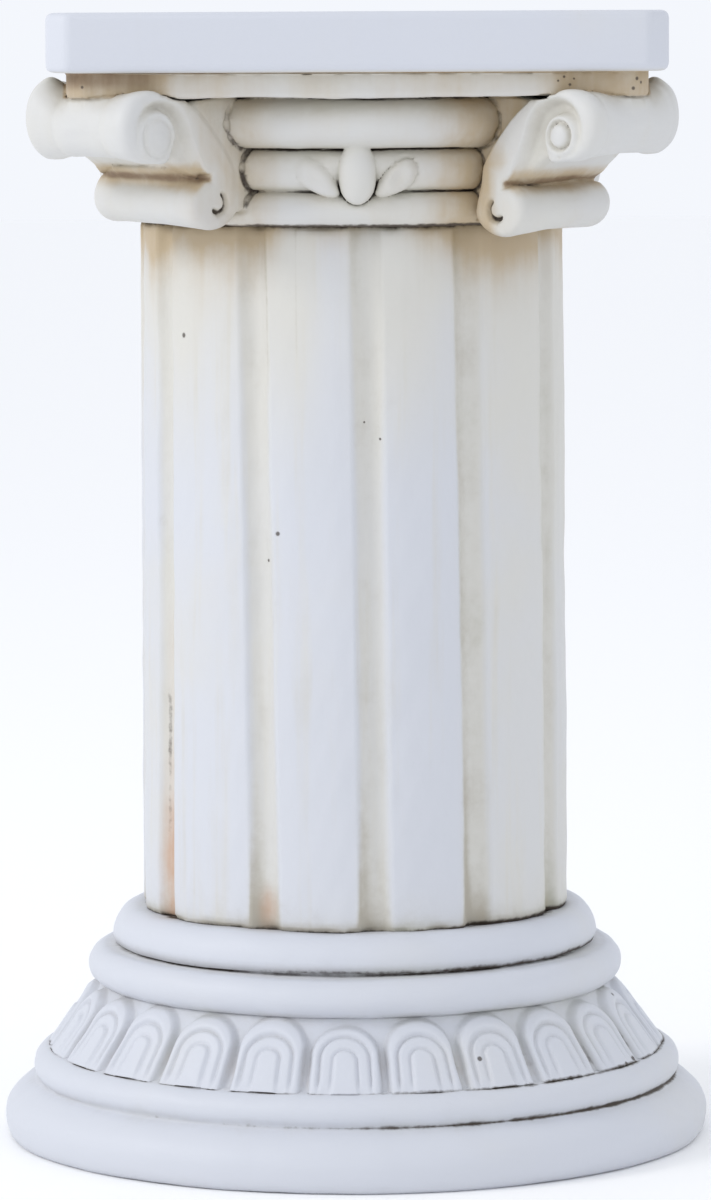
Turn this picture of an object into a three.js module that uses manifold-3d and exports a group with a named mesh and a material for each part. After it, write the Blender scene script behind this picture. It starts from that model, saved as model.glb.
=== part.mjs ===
// A garden column in the Ionic manner, cast in three pieces that stand on one another: a round moulded base
// with a band of tongues, a fluted shaft, and a square-topped capital with a scroll at each corner.
// Millimetres, +Z up, the front towards -Y, the origin at the middle of the underside.
import * as THREE from "three";
import { mergeVertices } from "three/addons/utils/BufferGeometryUtils.js";
import Module from "manifold-3d";

const wasm = await Module();
wasm.setup();

// Whole column
const HEIGHT = 600;
const BASE_TOP = 123.5;
const SHAFT_TOP = 490;
const BASE_SEGMENTS = 48;
const CAPITAL_SEGMENTS = 32;
const CURVE_STEPS = 2;

// How close two points are to be one, and the width of a sliver that joining solids may leave
const WELD = 1e-3;
const SLIVER = 0.2;

// Base mouldings, from the ground up
const FOOT_RADIUS = 189;
const FOOT_EDGE_HEIGHT = 13;
const FOOT_EDGE_INSET = 6;
const FOOT_SHOULDER = { radius: 188, z: 25 };
const RING_RADIUS = 174;
const RING_BULGE = 11;
const RING_HALF_HEIGHT = 10;
const RING_MIDDLE = 38;
const RING_START = -0.7;
const BAND_BOTTOM = { radius: 160, z: 48.5 };
const BAND_HOLLOW = { radius: 145, z: 62 };
const BAND_TOP = { radius: 136, z: 82.5 };
const LOWER_TORUS = { radius: 143.6, bulge: 9.5, bottom: 82.5, top: 102.5 };
const COLLAR = { radius: 130.4, lip: 128, seat: 118, widest: 108 };

// Tongues leaning on the band, each an arched border round a raised inner tongue
const TONGUE_COUNT = 24;
const TONGUE_TURN = -3.5;
const TONGUE_FOOT = { radius: 166.2, z: 48 };
const TONGUE_LEAN = 35.9;
const TONGUE_LENGTH = 43.4;
const TONGUE_FOOT_HALF = 20;
const TONGUE_HEAD_HALF = 18.5;
const TONGUE_SPRING = TONGUE_LENGTH - TONGUE_HEAD_HALF;
const TONGUE_BORDER = 5;
const TONGUE_GROOVE = 2.6;
const TONGUE_SINK = 9;
const TONGUE_GROOVE_DEPTH = 2.6;
const TONGUE_INNER_DROP = 0.6;
const TONGUE_PLATE_INSET = 2;
const ARCH_STEPS = 3;

// Shaft
const SHAFT_FOOT_RADIUS = 114.2;
const SHAFT_HEAD_RADIUS = 112.6;
const FLUTE_COUNT = 12;
const FLUTE_TURN = 3;
const FLUTE_HALF_ANGLE = 4.6;
const FLUTE_DEPTH = 5;
const FLUTE_STEPS = 6;
const FILLET_STEPS = 3;

// Capital mouldings, from the shaft up
const ASTRAGAL = { radius: 124, bulge: 9, bottom: SHAFT_TOP, top: 508.4 };
const EGG_BAND = { radius: 126.4, bulge: 9, bottom: 508.4, top: 530.2 };
const ECHINUS = { radius: 136.8, bulge: 14, bottom: 530.2, top: 557 };
const FILLET_WIDTH = 296;
const FILLET_BOTTOM = 554.8;
const FILLET_CORNER = 8;
const SLAB_WIDTH = 316;
const SLAB_BOTTOM = 568.5;
const SLAB_CORNER = 10.3;
const SLAB_EDGE = 2;
const FACES = 4;

// Egg and leaves in the middle of each face of the capital
const EGG = { halfWidth: 10.2, halfHeight: 15.8, depth: 9, z: 517.3, radius: 124.2 };
const LEAF = { halfLength: 13, halfWidth: 7.4, depth: 7, aside: 20, z: 515, radius: 123.2, tilt: 38 };
const EGG_ROUND = 10;
const EGG_RINGS = 6;
const LEAF_ROUND = 7;
const LEAF_RINGS = 5;

// Corner scrolls, drawn in the upright plane of the diagonal: distance from the axis, then height
const SCROLL_HALF_WIDTH = 38.4;
const SCROLL_WAIST = 0.3;
const SCROLL_SECTIONS = 4;
const VOLUTE = { x: 188.5, z: 541.5, radiusX: 18, radiusZ: 17.2, start: -100, end: 120, step: 27.5 };
const CURL = { x: 143.5, z: 500.2, radius: 15.7, quarterFactor: 0.86, start: 0, end: 235, step: 47 };
const SPINE_SHOULDER = { x: 162, z: 555 };
const SPINE_BEND = { x: 138, z: 531.5 };
const NOTCH_LIP = { x: 165, z: 525.3 };
const NOTCH_CORNER = { x: 151.5, z: 514.5 };
const WAIST_JOIN = { low: 509, high: 522 };
const EYE = { x: 184.5, z: 535.5, radius: 6.2, rise: 2.2 };
const EYE_RIM = 8.4;
const CANAL = { radius: 15.2, quarterFactor: 0.78, start: -90, end: 190, step: 35, depth: 4 };
const CANAL_MOUTH = [
  { x: 173, z: 529 },
  { x: 178, z: 518 },
  { x: 151, z: 508 },
  { x: 150, z: 512 },
  { x: 156.5, z: 522 },
];
const CURL_HOLE = { radius: 3.6, depth: 4 };
const EYE_ROUND = 8;
const EYE_RINGS = 4;
const WEB_INNER = 100;
const WEB_INSET = 5;
const WEB_LAP = 6;
const WEB_RISE = 1;

const { degToRad } = THREE.MathUtils;

// A closed surface as a solid, with coincident points joined and collapsed triangles left out.
function solidOf(geometry) {
  const bare = new THREE.BufferGeometry();
  bare.setAttribute("position", geometry.getAttribute("position"));
  bare.setIndex(geometry.index);
  const welded = mergeVertices(bare, WELD);
  const corners = welded.index.array;
  const kept = [];
  for (let i = 0; i < corners.length; i += 3) {
    const [a, b, c] = [corners[i], corners[i + 1], corners[i + 2]];
    if (a !== b && b !== c && c !== a) kept.push(a, b, c);
  }
  return new wasm.Manifold(
    new wasm.Mesh({
      numProp: 3,
      vertProperties: welded.getAttribute("position").array,
      triVerts: new Uint32Array(kept),
    }),
  );
}

function meshOf(name, solid, material) {
  const { vertProperties, triVerts } = solid.getMesh();
  const geometry = new THREE.BufferGeometry();
  geometry.setAttribute("position", new THREE.BufferAttribute(vertProperties, 3));
  geometry.setIndex(new THREE.BufferAttribute(triVerts, 1));
  geometry.computeVertexNormals();
  const mesh = new THREE.Mesh(geometry, material);
  mesh.name = name;
  return mesh;
}

// Several solids as one, without the slivers that their crossings leave.
function joined(solids) {
  return wasm.Manifold.union(solids).asOriginal().simplify(SLIVER);
}

function turned(profile, segments) {
  const points = profile.getPoints(CURVE_STEPS);
  return solidOf(new THREE.LatheGeometry(points, segments).rotateX(Math.PI / 2));
}

// Adds a half-round moulding to a profile of radius against height.
function halfRound(profile, { radius, bulge, bottom, top }) {
  const middle = (bottom + top) / 2;
  profile.absellipse(radius - bulge, middle, bulge, (top - bottom) / 2, -Math.PI / 2, Math.PI / 2);
}

// The frame of a piece that looks outwards at an angle from the front: across, up the slope, and out of it.
function outwardFrame(angle, radius, z, lean = 0) {
  const around = degToRad(angle);
  const outward = new THREE.Vector3(Math.sin(around), -Math.cos(around), 0);
  const across = new THREE.Vector3(Math.cos(around), Math.sin(around), 0);
  const upright = new THREE.Vector3(0, 0, 1);
  const slope = degToRad(lean);
  const up = upright.clone().multiplyScalar(Math.cos(slope)).addScaledVector(outward, -Math.sin(slope));
  const out = outward.clone().multiplyScalar(Math.cos(slope)).addScaledVector(upright, Math.sin(slope));
  const place = outward.multiplyScalar(radius).setZ(z);
  return new THREE.Matrix4().makeBasis(across, up, out).setPosition(place);
}

// A tongue's outline, drawn in by an inset: straight sides and a round head.
function archShape(inset) {
  const foot = TONGUE_FOOT_HALF - inset;
  const head = TONGUE_HEAD_HALF - inset;
  const shape = new THREE.Shape();
  shape.moveTo(foot, 0);
  shape.lineTo(head, TONGUE_SPRING);
  shape.absarc(0, TONGUE_SPRING, head, 0, Math.PI);
  shape.lineTo(-foot, 0);
  return shape;
}

function archBorder(width) {
  const foot = TONGUE_FOOT_HALF - width;
  const head = TONGUE_HEAD_HALF - width;
  const shape = archShape(0);
  shape.lineTo(-foot, 0);
  shape.lineTo(-head, TONGUE_SPRING);
  shape.absarc(0, TONGUE_SPRING, head, Math.PI, 0, true);
  shape.lineTo(foot, 0);
  return shape;
}

// A layer of a tongue, from deep in the band out to the given drop below the tongue's face.
function tongueLayer(shape, drop) {
  const depth = TONGUE_SINK - drop;
  const layer = new THREE.ExtrudeGeometry(shape, { depth, bevelEnabled: false, curveSegments: ARCH_STEPS });
  return solidOf(layer.translate(0, 0, -TONGUE_SINK));
}

function makeBase() {
  const profile = new THREE.Path();
  profile.moveTo(0, 0);
  profile.lineTo(FOOT_RADIUS - FOOT_EDGE_INSET, 0);
  profile.quadraticCurveTo(FOOT_RADIUS, 0, FOOT_RADIUS, FOOT_EDGE_HEIGHT);
  const ringCentre = RING_RADIUS - RING_BULGE;
  const ringFoot = {
    radius: ringCentre + RING_BULGE * Math.cos(RING_START),
    z: RING_MIDDLE + RING_HALF_HEIGHT * Math.sin(RING_START),
  };
  profile.quadraticCurveTo(FOOT_SHOULDER.radius, FOOT_SHOULDER.z, ringFoot.radius, ringFoot.z);
  profile.absellipse(ringCentre, RING_MIDDLE, RING_BULGE, RING_HALF_HEIGHT, RING_START, Math.PI / 2);
  profile.lineTo(BAND_BOTTOM.radius, BAND_BOTTOM.z);
  profile.quadraticCurveTo(BAND_HOLLOW.radius, BAND_HOLLOW.z, BAND_TOP.radius, BAND_TOP.z);
  halfRound(profile, LOWER_TORUS);
  profile.lineTo(COLLAR.lip, LOWER_TORUS.top);
  const collarWidth = COLLAR.radius - COLLAR.seat;
  profile.absellipse(COLLAR.seat, COLLAR.widest, collarWidth, BASE_TOP - COLLAR.widest, 0, Math.PI / 2);
  profile.lineTo(0, BASE_TOP);

  const plate = tongueLayer(archShape(TONGUE_PLATE_INSET), TONGUE_GROOVE_DEPTH);
  const border = tongueLayer(archBorder(TONGUE_BORDER), 0);
  const inner = tongueLayer(archShape(TONGUE_BORDER + TONGUE_GROOVE), TONGUE_INNER_DROP);
  const tongue = wasm.Manifold.union([plate, border, inner]);
  const solids = [turned(profile, BASE_SEGMENTS)];
  for (let i = 0; i < TONGUE_COUNT; i++) {
    const angle = TONGUE_TURN + (360 / TONGUE_COUNT) * i;
    const frame = outwardFrame(angle, TONGUE_FOOT.radius, TONGUE_FOOT.z, TONGUE_LEAN);
    solids.push(tongue.transform(frame.elements));
  }
  return joined(solids);
}

function makeShaft() {
  const pitch = 360 / FLUTE_COUNT;
  const points = [];
  const addPoint = (angle, radius) => {
    const around = degToRad(angle);
    points.push(new THREE.Vector2(radius * Math.sin(around), -radius * Math.cos(around)));
  };
  for (let i = 0; i < FLUTE_COUNT; i++) {
    const middle = FLUTE_TURN + pitch * i;
    for (let k = 0; k < FLUTE_STEPS; k++) {
      const across = (2 * k) / FLUTE_STEPS - 1;
      const radius = SHAFT_FOOT_RADIUS - FLUTE_DEPTH * (1 - across * across);
      addPoint(middle + across * FLUTE_HALF_ANGLE, radius);
    }
    for (let k = 0; k < FILLET_STEPS; k++) {
      const along = (k / FILLET_STEPS) * (pitch - 2 * FLUTE_HALF_ANGLE);
      addPoint(middle + FLUTE_HALF_ANGLE + along, SHAFT_FOOT_RADIUS);
    }
  }
  const depth = SHAFT_TOP - BASE_TOP;
  const geometry = new THREE.ExtrudeGeometry(new THREE.Shape(points), { depth, bevelEnabled: false });
  const position = geometry.getAttribute("position");
  for (let i = 0; i < position.count; i++) {
    const share = THREE.MathUtils.lerp(1, SHAFT_HEAD_RADIUS / SHAFT_FOOT_RADIUS, position.getZ(i) / depth);
    position.setX(i, position.getX(i) * share);
    position.setY(i, position.getY(i) * share);
  }
  return solidOf(geometry.translate(0, 0, BASE_TOP));
}

// A square with its corners cut off.
function squareShape(width, corner) {
  const half = width / 2;
  const middle = new THREE.Vector2();
  const points = [];
  for (let i = 0; i < FACES; i++) {
    for (const across of [corner - half, half - corner]) {
      points.push(new THREE.Vector2(across, -half).rotateAround(middle, (2 * Math.PI * i) / FACES));
    }
  }
  return new THREE.Shape(points);
}

function spiralRadius({ radius, quarterFactor }, angle) {
  return radius * quarterFactor ** (angle / 90);
}

// A point on the upper roll's end, at an angle from level turning upwards.
function volutePoint(angle) {
  const around = degToRad(angle);
  const x = VOLUTE.x + VOLUTE.radiusX * Math.cos(around);
  return new THREE.Vector2(x, VOLUTE.z + VOLUTE.radiusZ * Math.sin(around));
}

// A point round the eye, at an angle from the top turning outwards.
function eyePoint(angle, radius) {
  const around = degToRad(angle);
  return new THREE.Vector2(EYE.x + radius * Math.sin(around), EYE.z + radius * Math.cos(around));
}

// A point round the lower curl, at an angle from its inner side turning downwards.
function curlPoint(angle) {
  const around = degToRad(angle);
  const radius = spiralRadius(CURL, angle);
  return new THREE.Vector2(CURL.x - radius * Math.cos(around), CURL.z - radius * Math.sin(around));
}

function anglesFrom({ start, end, step }) {
  const count = Math.round((end - start) / step);
  return Array.from({ length: count + 1 }, (_, i) => start + ((end - start) * i) / count);
}

function scrollShape() {
  const curl = anglesFrom(CURL).map(curlPoint);
  const notch = [NOTCH_CORNER, NOTCH_LIP].map(({ x, z }) => new THREE.Vector2(x, z));
  const volute = anglesFrom(VOLUTE).map(volutePoint);
  const shape = new THREE.Shape([...curl, ...notch, ...volute]);
  shape.lineTo(SPINE_SHOULDER.x, SPINE_SHOULDER.z);
  shape.quadraticCurveTo(SPINE_BEND.x, SPINE_BEND.z, curl[0].x, curl[0].y);
  return shape;
}

// The hollow between the band and the eye, open at its foot to the notch between the two rolls.
function canalShape() {
  const angles = anglesFrom(CANAL);
  const outer = angles.map((angle) => eyePoint(angle, spiralRadius(CANAL, angle)));
  const inner = angles.slice(0, -1).map((angle) => eyePoint(angle, EYE_RIM));
  const mouth = CANAL_MOUTH.map(({ x, z }) => new THREE.Vector2(x, z));
  return new THREE.Shape([...mouth, ...outer, ...inner.reverse()]);
}

// Stands a shape drawn in the plane of the diagonal upright, with its thickness along the roll.
function acrossDiagonal(shape, from, to, steps = 1) {
  const options = { depth: to - from, steps, bevelEnabled: false, curveSegments: CURVE_STEPS };
  const geometry = new THREE.ExtrudeGeometry(shape, options).translate(0, 0, from);
  return geometry.rotateX(Math.PI / 2);
}

// Draws the rolls in towards their middle like an hourglass.
function drawWaist(geometry) {
  const position = geometry.getAttribute("position");
  for (let i = 0; i < position.count; i++) {
    const [x, y, z] = [position.getX(i), position.getY(i), position.getZ(i)];
    const upper = THREE.MathUtils.smoothstep(z, WAIST_JOIN.low, WAIST_JOIN.high);
    const centreX = THREE.MathUtils.lerp(CURL.x, VOLUTE.x, upper);
    const centreZ = THREE.MathUtils.lerp(CURL.z, VOLUTE.z, upper);
    const size = 1 - SCROLL_WAIST * (1 - (y / SCROLL_HALF_WIDTH) ** 2);
    position.setX(i, centreX + (x - centreX) * size);
    position.setZ(i, centreZ + (z - centreZ) * size);
  }
  return geometry;
}

function ellipsoid(round, rings, sizes) {
  return new THREE.SphereGeometry(1, round, rings).scale(...sizes);
}

function makeScroll() {
  const end = SCROLL_HALF_WIDTH;
  const roll = solidOf(drawWaist(acrossDiagonal(scrollShape(), -end, end, SCROLL_SECTIONS)));
  const hole = new THREE.Shape().absarc(CURL.x, CURL.z, CURL_HOLE.radius, 0, 2 * Math.PI);
  const cuts = [];
  const eyes = [];
  for (const side of [-1, 1]) {
    const beyond = side * (end + CANAL.depth);
    const pocket = (shape, depth) => {
      const floor = side * (end - depth);
      return solidOf(acrossDiagonal(shape, Math.min(floor, beyond), Math.max(floor, beyond)));
    };
    cuts.push(pocket(canalShape(), CANAL.depth), pocket(hole, CURL_HOLE.depth));
    const eye = ellipsoid(EYE_ROUND, EYE_RINGS, [EYE.radius, EYE.rise, EYE.radius]);
    eyes.push(solidOf(eye.translate(EYE.x, side * end, EYE.z)));
  }
  const foot = curlPoint(CURL.start);
  const web = new THREE.Shape();
  web.moveTo(WEB_INNER, foot.y);
  web.lineTo(foot.x + WEB_LAP, foot.y);
  web.quadraticCurveTo(SPINE_BEND.x + WEB_LAP, SPINE_BEND.z, SPINE_SHOULDER.x + WEB_LAP, SPINE_SHOULDER.z);
  web.lineTo(SPINE_SHOULDER.x + WEB_LAP, FILLET_BOTTOM + WEB_RISE);
  web.lineTo(WEB_INNER, FILLET_BOTTOM + WEB_RISE);
  const backing = solidOf(acrossDiagonal(web, WEB_INSET - end, end - WEB_INSET));
  const carved = roll.subtract(wasm.Manifold.union(cuts));
  return wasm.Manifold.union([carved, backing, ...eyes]);
}

// The egg of one face with a leaf rising outwards on each side of its foot.
function makeEggAndLeaves(angle) {
  const egg = ellipsoid(EGG_ROUND, EGG_RINGS, [EGG.halfWidth, EGG.halfHeight, EGG.depth]);
  const solids = [solidOf(egg.applyMatrix4(outwardFrame(angle, EGG.radius, EGG.z)))];
  for (const side of [-1, 1]) {
    const leaf = ellipsoid(LEAF_ROUND, LEAF_RINGS, [LEAF.halfLength, LEAF.halfWidth, LEAF.depth]);
    leaf.rotateZ(side * degToRad(LEAF.tilt));
    const turn = THREE.MathUtils.radToDeg((side * LEAF.aside) / LEAF.radius);
    solids.push(solidOf(leaf.applyMatrix4(outwardFrame(angle + turn, LEAF.radius, LEAF.z))));
  }
  return wasm.Manifold.union(solids);
}

function makeCapital() {
  const profile = new THREE.Path();
  profile.moveTo(0, SHAFT_TOP);
  profile.lineTo(ASTRAGAL.radius - ASTRAGAL.bulge, SHAFT_TOP);
  halfRound(profile, ASTRAGAL);
  halfRound(profile, EGG_BAND);
  halfRound(profile, ECHINUS);
  profile.lineTo(0, ECHINUS.top);

  const fillet = new THREE.ExtrudeGeometry(squareShape(FILLET_WIDTH, FILLET_CORNER), {
    depth: SLAB_BOTTOM - FILLET_BOTTOM + SLAB_EDGE,
    bevelEnabled: false,
  });
  const slab = new THREE.ExtrudeGeometry(squareShape(SLAB_WIDTH, SLAB_CORNER), {
    depth: HEIGHT - SLAB_BOTTOM - 2 * SLAB_EDGE,
    bevelThickness: SLAB_EDGE,
    bevelSize: SLAB_EDGE,
    bevelOffset: -SLAB_EDGE,
    bevelSegments: 1,
  });
  const solids = [
    turned(profile, CAPITAL_SEGMENTS),
    solidOf(fillet.translate(0, 0, FILLET_BOTTOM)),
    solidOf(slab.translate(0, 0, SLAB_BOTTOM + SLAB_EDGE)),
  ];
  const scroll = makeScroll();
  for (let i = 0; i < FACES; i++) {
    const face = (360 / FACES) * i;
    solids.push(scroll.rotate([0, 0, face + 180 / FACES]));
    solids.push(makeEggAndLeaves(face));
  }
  return joined(solids);
}

const paintedStone = new THREE.MeshStandardMaterial({ color: 0xdcdcda, roughness: 0.8 });
paintedStone.name = "painted_cast_stone";

const group = new THREE.Group();
group.add(meshOf("base", makeBase(), paintedStone));
group.add(meshOf("shaft", makeShaft(), paintedStone));
group.add(meshOf("capital", makeCapital(), paintedStone));

export default group;
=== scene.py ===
"""A white painted garden column, cast in three pieces: its meshes, its weathered paint, and a plain stage.

Lengths in the constants are millimetres, and angles are degrees round from the front, -Y, towards +X.
Meshes, lamps and the camera are in metres.
"""

import math
from collections import namedtuple

import bpy
import numpy as np
from mathutils import Matrix, Vector
from mathutils.bvhtree import BVHTree


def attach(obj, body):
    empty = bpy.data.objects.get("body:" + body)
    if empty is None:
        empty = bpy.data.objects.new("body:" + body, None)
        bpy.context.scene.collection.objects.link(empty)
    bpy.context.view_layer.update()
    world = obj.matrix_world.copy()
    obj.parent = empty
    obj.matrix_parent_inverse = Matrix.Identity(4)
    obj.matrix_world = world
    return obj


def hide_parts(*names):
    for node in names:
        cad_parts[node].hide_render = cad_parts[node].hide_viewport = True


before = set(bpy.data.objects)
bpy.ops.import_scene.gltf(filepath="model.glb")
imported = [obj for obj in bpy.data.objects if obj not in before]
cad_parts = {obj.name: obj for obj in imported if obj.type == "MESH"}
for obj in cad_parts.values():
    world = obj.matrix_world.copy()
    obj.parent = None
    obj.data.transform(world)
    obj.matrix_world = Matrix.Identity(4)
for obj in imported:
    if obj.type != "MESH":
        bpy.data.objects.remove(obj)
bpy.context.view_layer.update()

bl_info = {
    "name": "Garden Column",
    "version": (1, 0, 0),
    "blender": (4, 5, 0),
    "location": "3D View > Sidebar > Column",
    "description": "A white painted cast stone column with a fluted shaft and a scrolled capital",
    "category": "Add Mesh",
}

MM = 0.001

# Heights where one piece stands on the next
BASE_TOP = 123.5
SHAFT_TOP = 490.0
TOP = 600.0

# Base mouldings
FOOT_EDGE_HEIGHT = 13.0
FOOT_EDGE_INSET = 6.0
FOOT_SHOULDER = (188.0, 25.0)
RING_BULGE = 11.0
RING_HALF_HEIGHT = 10.0
RING_MIDDLE = 38.0
RING_START = -0.7
BAND_BOTTOM = (160.0, 48.5)
BAND_HOLLOW = (145.0, 62.0)
BAND_TOP = (136.0, 82.5)
TORUS_BULGE = 9.5
TORUS_TOP = 102.5
COLLAR_LIP = 128.0
COLLAR_SEAT = 118.0
COLLAR_WIDEST = 108.0
RING_FOOT = (171.4, 31.6)
COLLAR_JOINT = ((-3.2, 0.3), (-2.4, 1.1), (0.9, 2.0))
FLAT_EDGE = 8.0
BASE_COLUMNS = 312
BAND_FACTOR = 4
BAND_ROWS = 52

# Tongues of the base: the face they share, and the nested arches drawn on each
TONGUE_TURN = -3.5
TONGUE_FOOT = (166.2, 48.0)
TONGUE_LEAN = math.radians(35.9)
TONGUE_LENGTH = 43.4
TONGUE_OUTLINE = (20.0, 18.3, 42.6)
TONGUE_GROOVE = (14.2, 12.9, 33.4)
TONGUE_INNER = (7.4, 6.2, 25.8)
TONGUE_EDGE = 1.9
TONGUE_DRIFT = 2.2
TONGUE_CROWN = 1.3
GROOVE_DEPTH = 2.5
SHORT_TONGUES = {0: -3.2, 2: 1.0, -1: 1.2}

# Dirt and painted shade on the base. Black lines in its creases, dirt and painted shade, heavier on the
# right: radius, height, width, and strength on the left and on the right
BASE_LINES = (
    (COLLAR_LIP, TORUS_TOP + 0.9, 3.2, 0.35, 1.30),
    (*RING_FOOT, 2.3, 0.20, 1.15),
    (TONGUE_FOOT[0] - 1, TONGUE_FOOT[1], 2.0, 0.25, 0.85),
)
# Heights of the band's gaps between the tongues, which hold dirt and, on the right, painted shade
BAND_DIRT_AND_SHADE = (47.0, 50.0, 58.0, 76.0)
SPLASH_HEIGHT = 16.0

# Flutes that strayed in the mould: degrees at the foot and at the head
FLUTE_HALF_ANGLE = 4.4
FLUTE_DRIFT = {-2: (-6.0, -5.2), -1: (1.5, -2.2), 0: (1.2, -0.8), 1: (0.4, -2.6), 2: (3.0, 0.5)}
FLUTE_TURN = 3.0
SHAFT_COLUMNS = 600
SHAFT_ROWS = 128
END_ROWS = (0.5, 1.1, 1.9)
WORN_END = 3.0
PLAIN_END = 4.0

# Dirt and painted shade on the shaft: angles with their spread, and heights
SHADE_EDGE = (-52.0, -36.0)
RIGHT_SIDE = (12.0, 34.0, 75.0, 95.0)
SHADED_FLUTE = (66.0, 12.0)
CRACKED_FLUTE = (-26.0, 4.0)
CRACK = (-16.2, 0.5)
RUST_FLUTE = -2
RUST_SPREAD = 3.8
RUST_RUN = (330.0, 260.0)
RUST_FOOT = (230.0, 140.0)
SPECK_ASIDE = -1.5
SPECK_LEVELS = (130.0, 190.0, 235.0, 262.0)
FOOT_STAIN = (-25.5, 3.2)
FOOT_STAIN_LEVEL = (134.0, 13.0)

# Capital mouldings: radius, bulge, bottom, top
ASTRAGAL = (124.0, 9.0, 490.0, 508.4)
EGG_BAND = (126.4, 9.0, 508.4, 530.2)
ECHINUS = (136.8, 14.0, 530.2, 557.0)
FILLET_WIDTH = 296.0
FILLET_BOTTOM = 556.5
FILLET_CORNER = 8.0
SLAB_BOTTOM = 569.5
SLAB_CORNER = 10.3
CARVING_LOW = 483.0
CARVING_HIGH = 603.0
CARVING_REACH = 193.0
CAPITAL_TRIANGLES = 182000
TOP_MARGIN = 12.0
SIDE_MARGIN = 18.0
EDGE_MARGIN = 6.0
SEAT_HALF = 76.0

# Egg and leaves: half sizes across, up and out, then the place
EGG_HALF = (10.2, 16.6, 9.0)
EGG_PLACE = (124.2, 518.1)
LEAF_HALF = (13.5, 7.4, 7.0)
LEAF_PLACE = (123.2, 515.0)
LEAF_ASIDE = 20.0
LEAF_TILT = 38.0
DISH_HALF = (8.6, 4.3, 3.4)
DISH_PLACE = (1.6, 8.4)
EGG_LEVELS = (494.0, 540.0)
LEAF_LEVELS = (492.0, 540.0)

# Corner scrolls, drawn in the upright plane of the diagonal: distance from the axis, then height
VOLUTE = (188.5, 542.3)
VOLUTE_HALF = (18.0, 19.4)
CURL = (140.5, 499.5)
CURL_BACK = 18.5
CURL_FRONT = 16.0
CURL_HALF_HEIGHT = 13.8
SPINE_SHOULDER = (162.0, 556.0)
SPINE_BEND = (128.0, 533.0)
NOTCH_LIP = (164.5, 523.6)
NOTCH_CORNER = (149.5, 513.5)
WAIST_JOIN = (509.0, 522.0)
EYE = (182.5, 537.0)
EYE_RING = 3.0
CANAL_RADIUS = 19.0
CANAL_FACTOR = 0.78
CANAL_DEPTH = 6.2
EYE_DOME = 2.4
HOOK_DEPTH = 3.9
WEB_OVERLAP = 6.5
WEB_TOP = (130.0, 561.0)
FAR_END_RISE = 1.7
NECK_START = 158.0
NECK_END = 200.5
NECK_CORNER = 205.5
NECK_HALF = 20.0
NECK_BOTTOM = 544.0
HOOK_ASIDE = 2.5
HOOK_RADIUS = 4.9
CREASE_DEPTH = 0.035
END_CHANGE = 0.035
CURL_ROUNDING = 7.0
BOSS = (178.0, 196.0)
SCROLL_PLACE = 160.0
SCROLL_REACH = 72.0

# Mouth of the canal on a scroll's end: distance, height, and how far it follows the lift of the curl
CANAL_MOUTH = (
    (174.0, 529.0, 0.0),
    (178.0, 518.0, 0.0),
    (150.0, 511.5, 1.0),
    (141.0, 509.5, 1.0),
    (149.5, 520.0, 0.4),
)

# Dirt on the capital, and painted shade in the line where the webs meet the mouldings: distances from the
# axis, and heights
NOTCH_DIRT = (136.0, 142.0, 162.0, 170.0)
NOTCH_TAN = (-9.0, -1.0, 2.0, 9.0)
JOINT_RING = (100.0, 108.0, 125.0, 128.0)
WEB_LINE = (496.0, 500.0, 548.0, 552.0)
FILLET_DIRT = (166.0, 182.0)

# How each corner's scroll came out of its mould, from the front right one round by the back: depth of the
# relief on its ends, radius of its eye, depth of the cut round the eye, place of its crease, lift of its
# curl, inset of its web, the larger end, and how much shorter and taller the other end is
Casting = namedtuple("Casting", "relief eye cut crease lift inset larger shorter taller")
CASTINGS = (
    Casting(1.15, 6.4, 2.0, 0.68, 0.0, 9.0, -1, 4.0, 0.20),
    Casting(0.9, 7.0, 1.6, 0.60, 2.0, 5.0, 1, 0.0, 0.08),
    Casting(0.8, 8.0, 1.4, 0.62, 1.0, 5.0, -1, 0.0, 0.08),
    Casting(0.9, 9.0, 0.4, 0.45, 4.5, 1.0, 1, -1.0, 0.20),
)

# Small holes and spots in the paint: angle, height and width
BASE_SPOTS = (
    (23.0, 61.5, 1.7),
    (71.0, 79.0, 1.5),
    (62.0, 50.0, 2.0),
    (58.0, 48.8, 1.6),
    (41.0, 48.4, 1.8),
)
SHAFT_HOLES = (
    (-52.5, 433.0, 1.7),
    (-21.3, 330.0, 1.5),
    (-25.2, 318.0, 1.1),
    (2.0, 389.0, 0.8),
    (6.0, 379.0, 0.9),
)
FILLET_HOLES = (
    (44.0, 565.4, 1.3),
    (44.9, 563.0, 1.0),
    (43.5, 560.2, 1.2),
    (35.2, 566.4, 0.9),
    (34.5, 564.4, 0.8),
    (36.1, 562.4, 1.0),
    (36.6, 565.2, 0.7),
    (-43.5, 562.5, 1.0),
)

# Stage: half the floor's width, the lamps, and the camera's turns and its focal length in pixels
FLOOR_REACH = 14.0
SKY_STRENGTH = 0.98
LAMP_TARGET = (0.0, 0.0, 0.33)
KEY_PLACE = (-2.9, -1.1, 2.1)
KEY_SIZE = 1.1
FILL_PLACE = (2.4, -2.2, 1.2)
FILL_SIZE = 2.2
CAMERA_TURN = -1.4
CAMERA_TIP = 5.7
CAMERA_ROLL = -0.3
CAMERA_ASIDE = 0.019
FOCAL_PIXELS = 5908
PHOTO_HEIGHT = 1200
SENSOR = 36.0


def length(name, description, millimetres):
    return bpy.props.FloatProperty(
        name=name, description=description, default=millimetres * MM, min=0, unit="LENGTH", precision=4
    )


def colour(name, description, value):
    return bpy.props.FloatVectorProperty(
        name=name, description=description, default=value, min=0, max=1, size=3, subtype="COLOR"
    )


def amount(name, description, value, most):
    return bpy.props.FloatProperty(name=name, description=description, default=value, min=0, max=most)


def number(name, description, value):
    return bpy.props.IntProperty(name=name, description=description, default=value, min=4)


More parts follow.
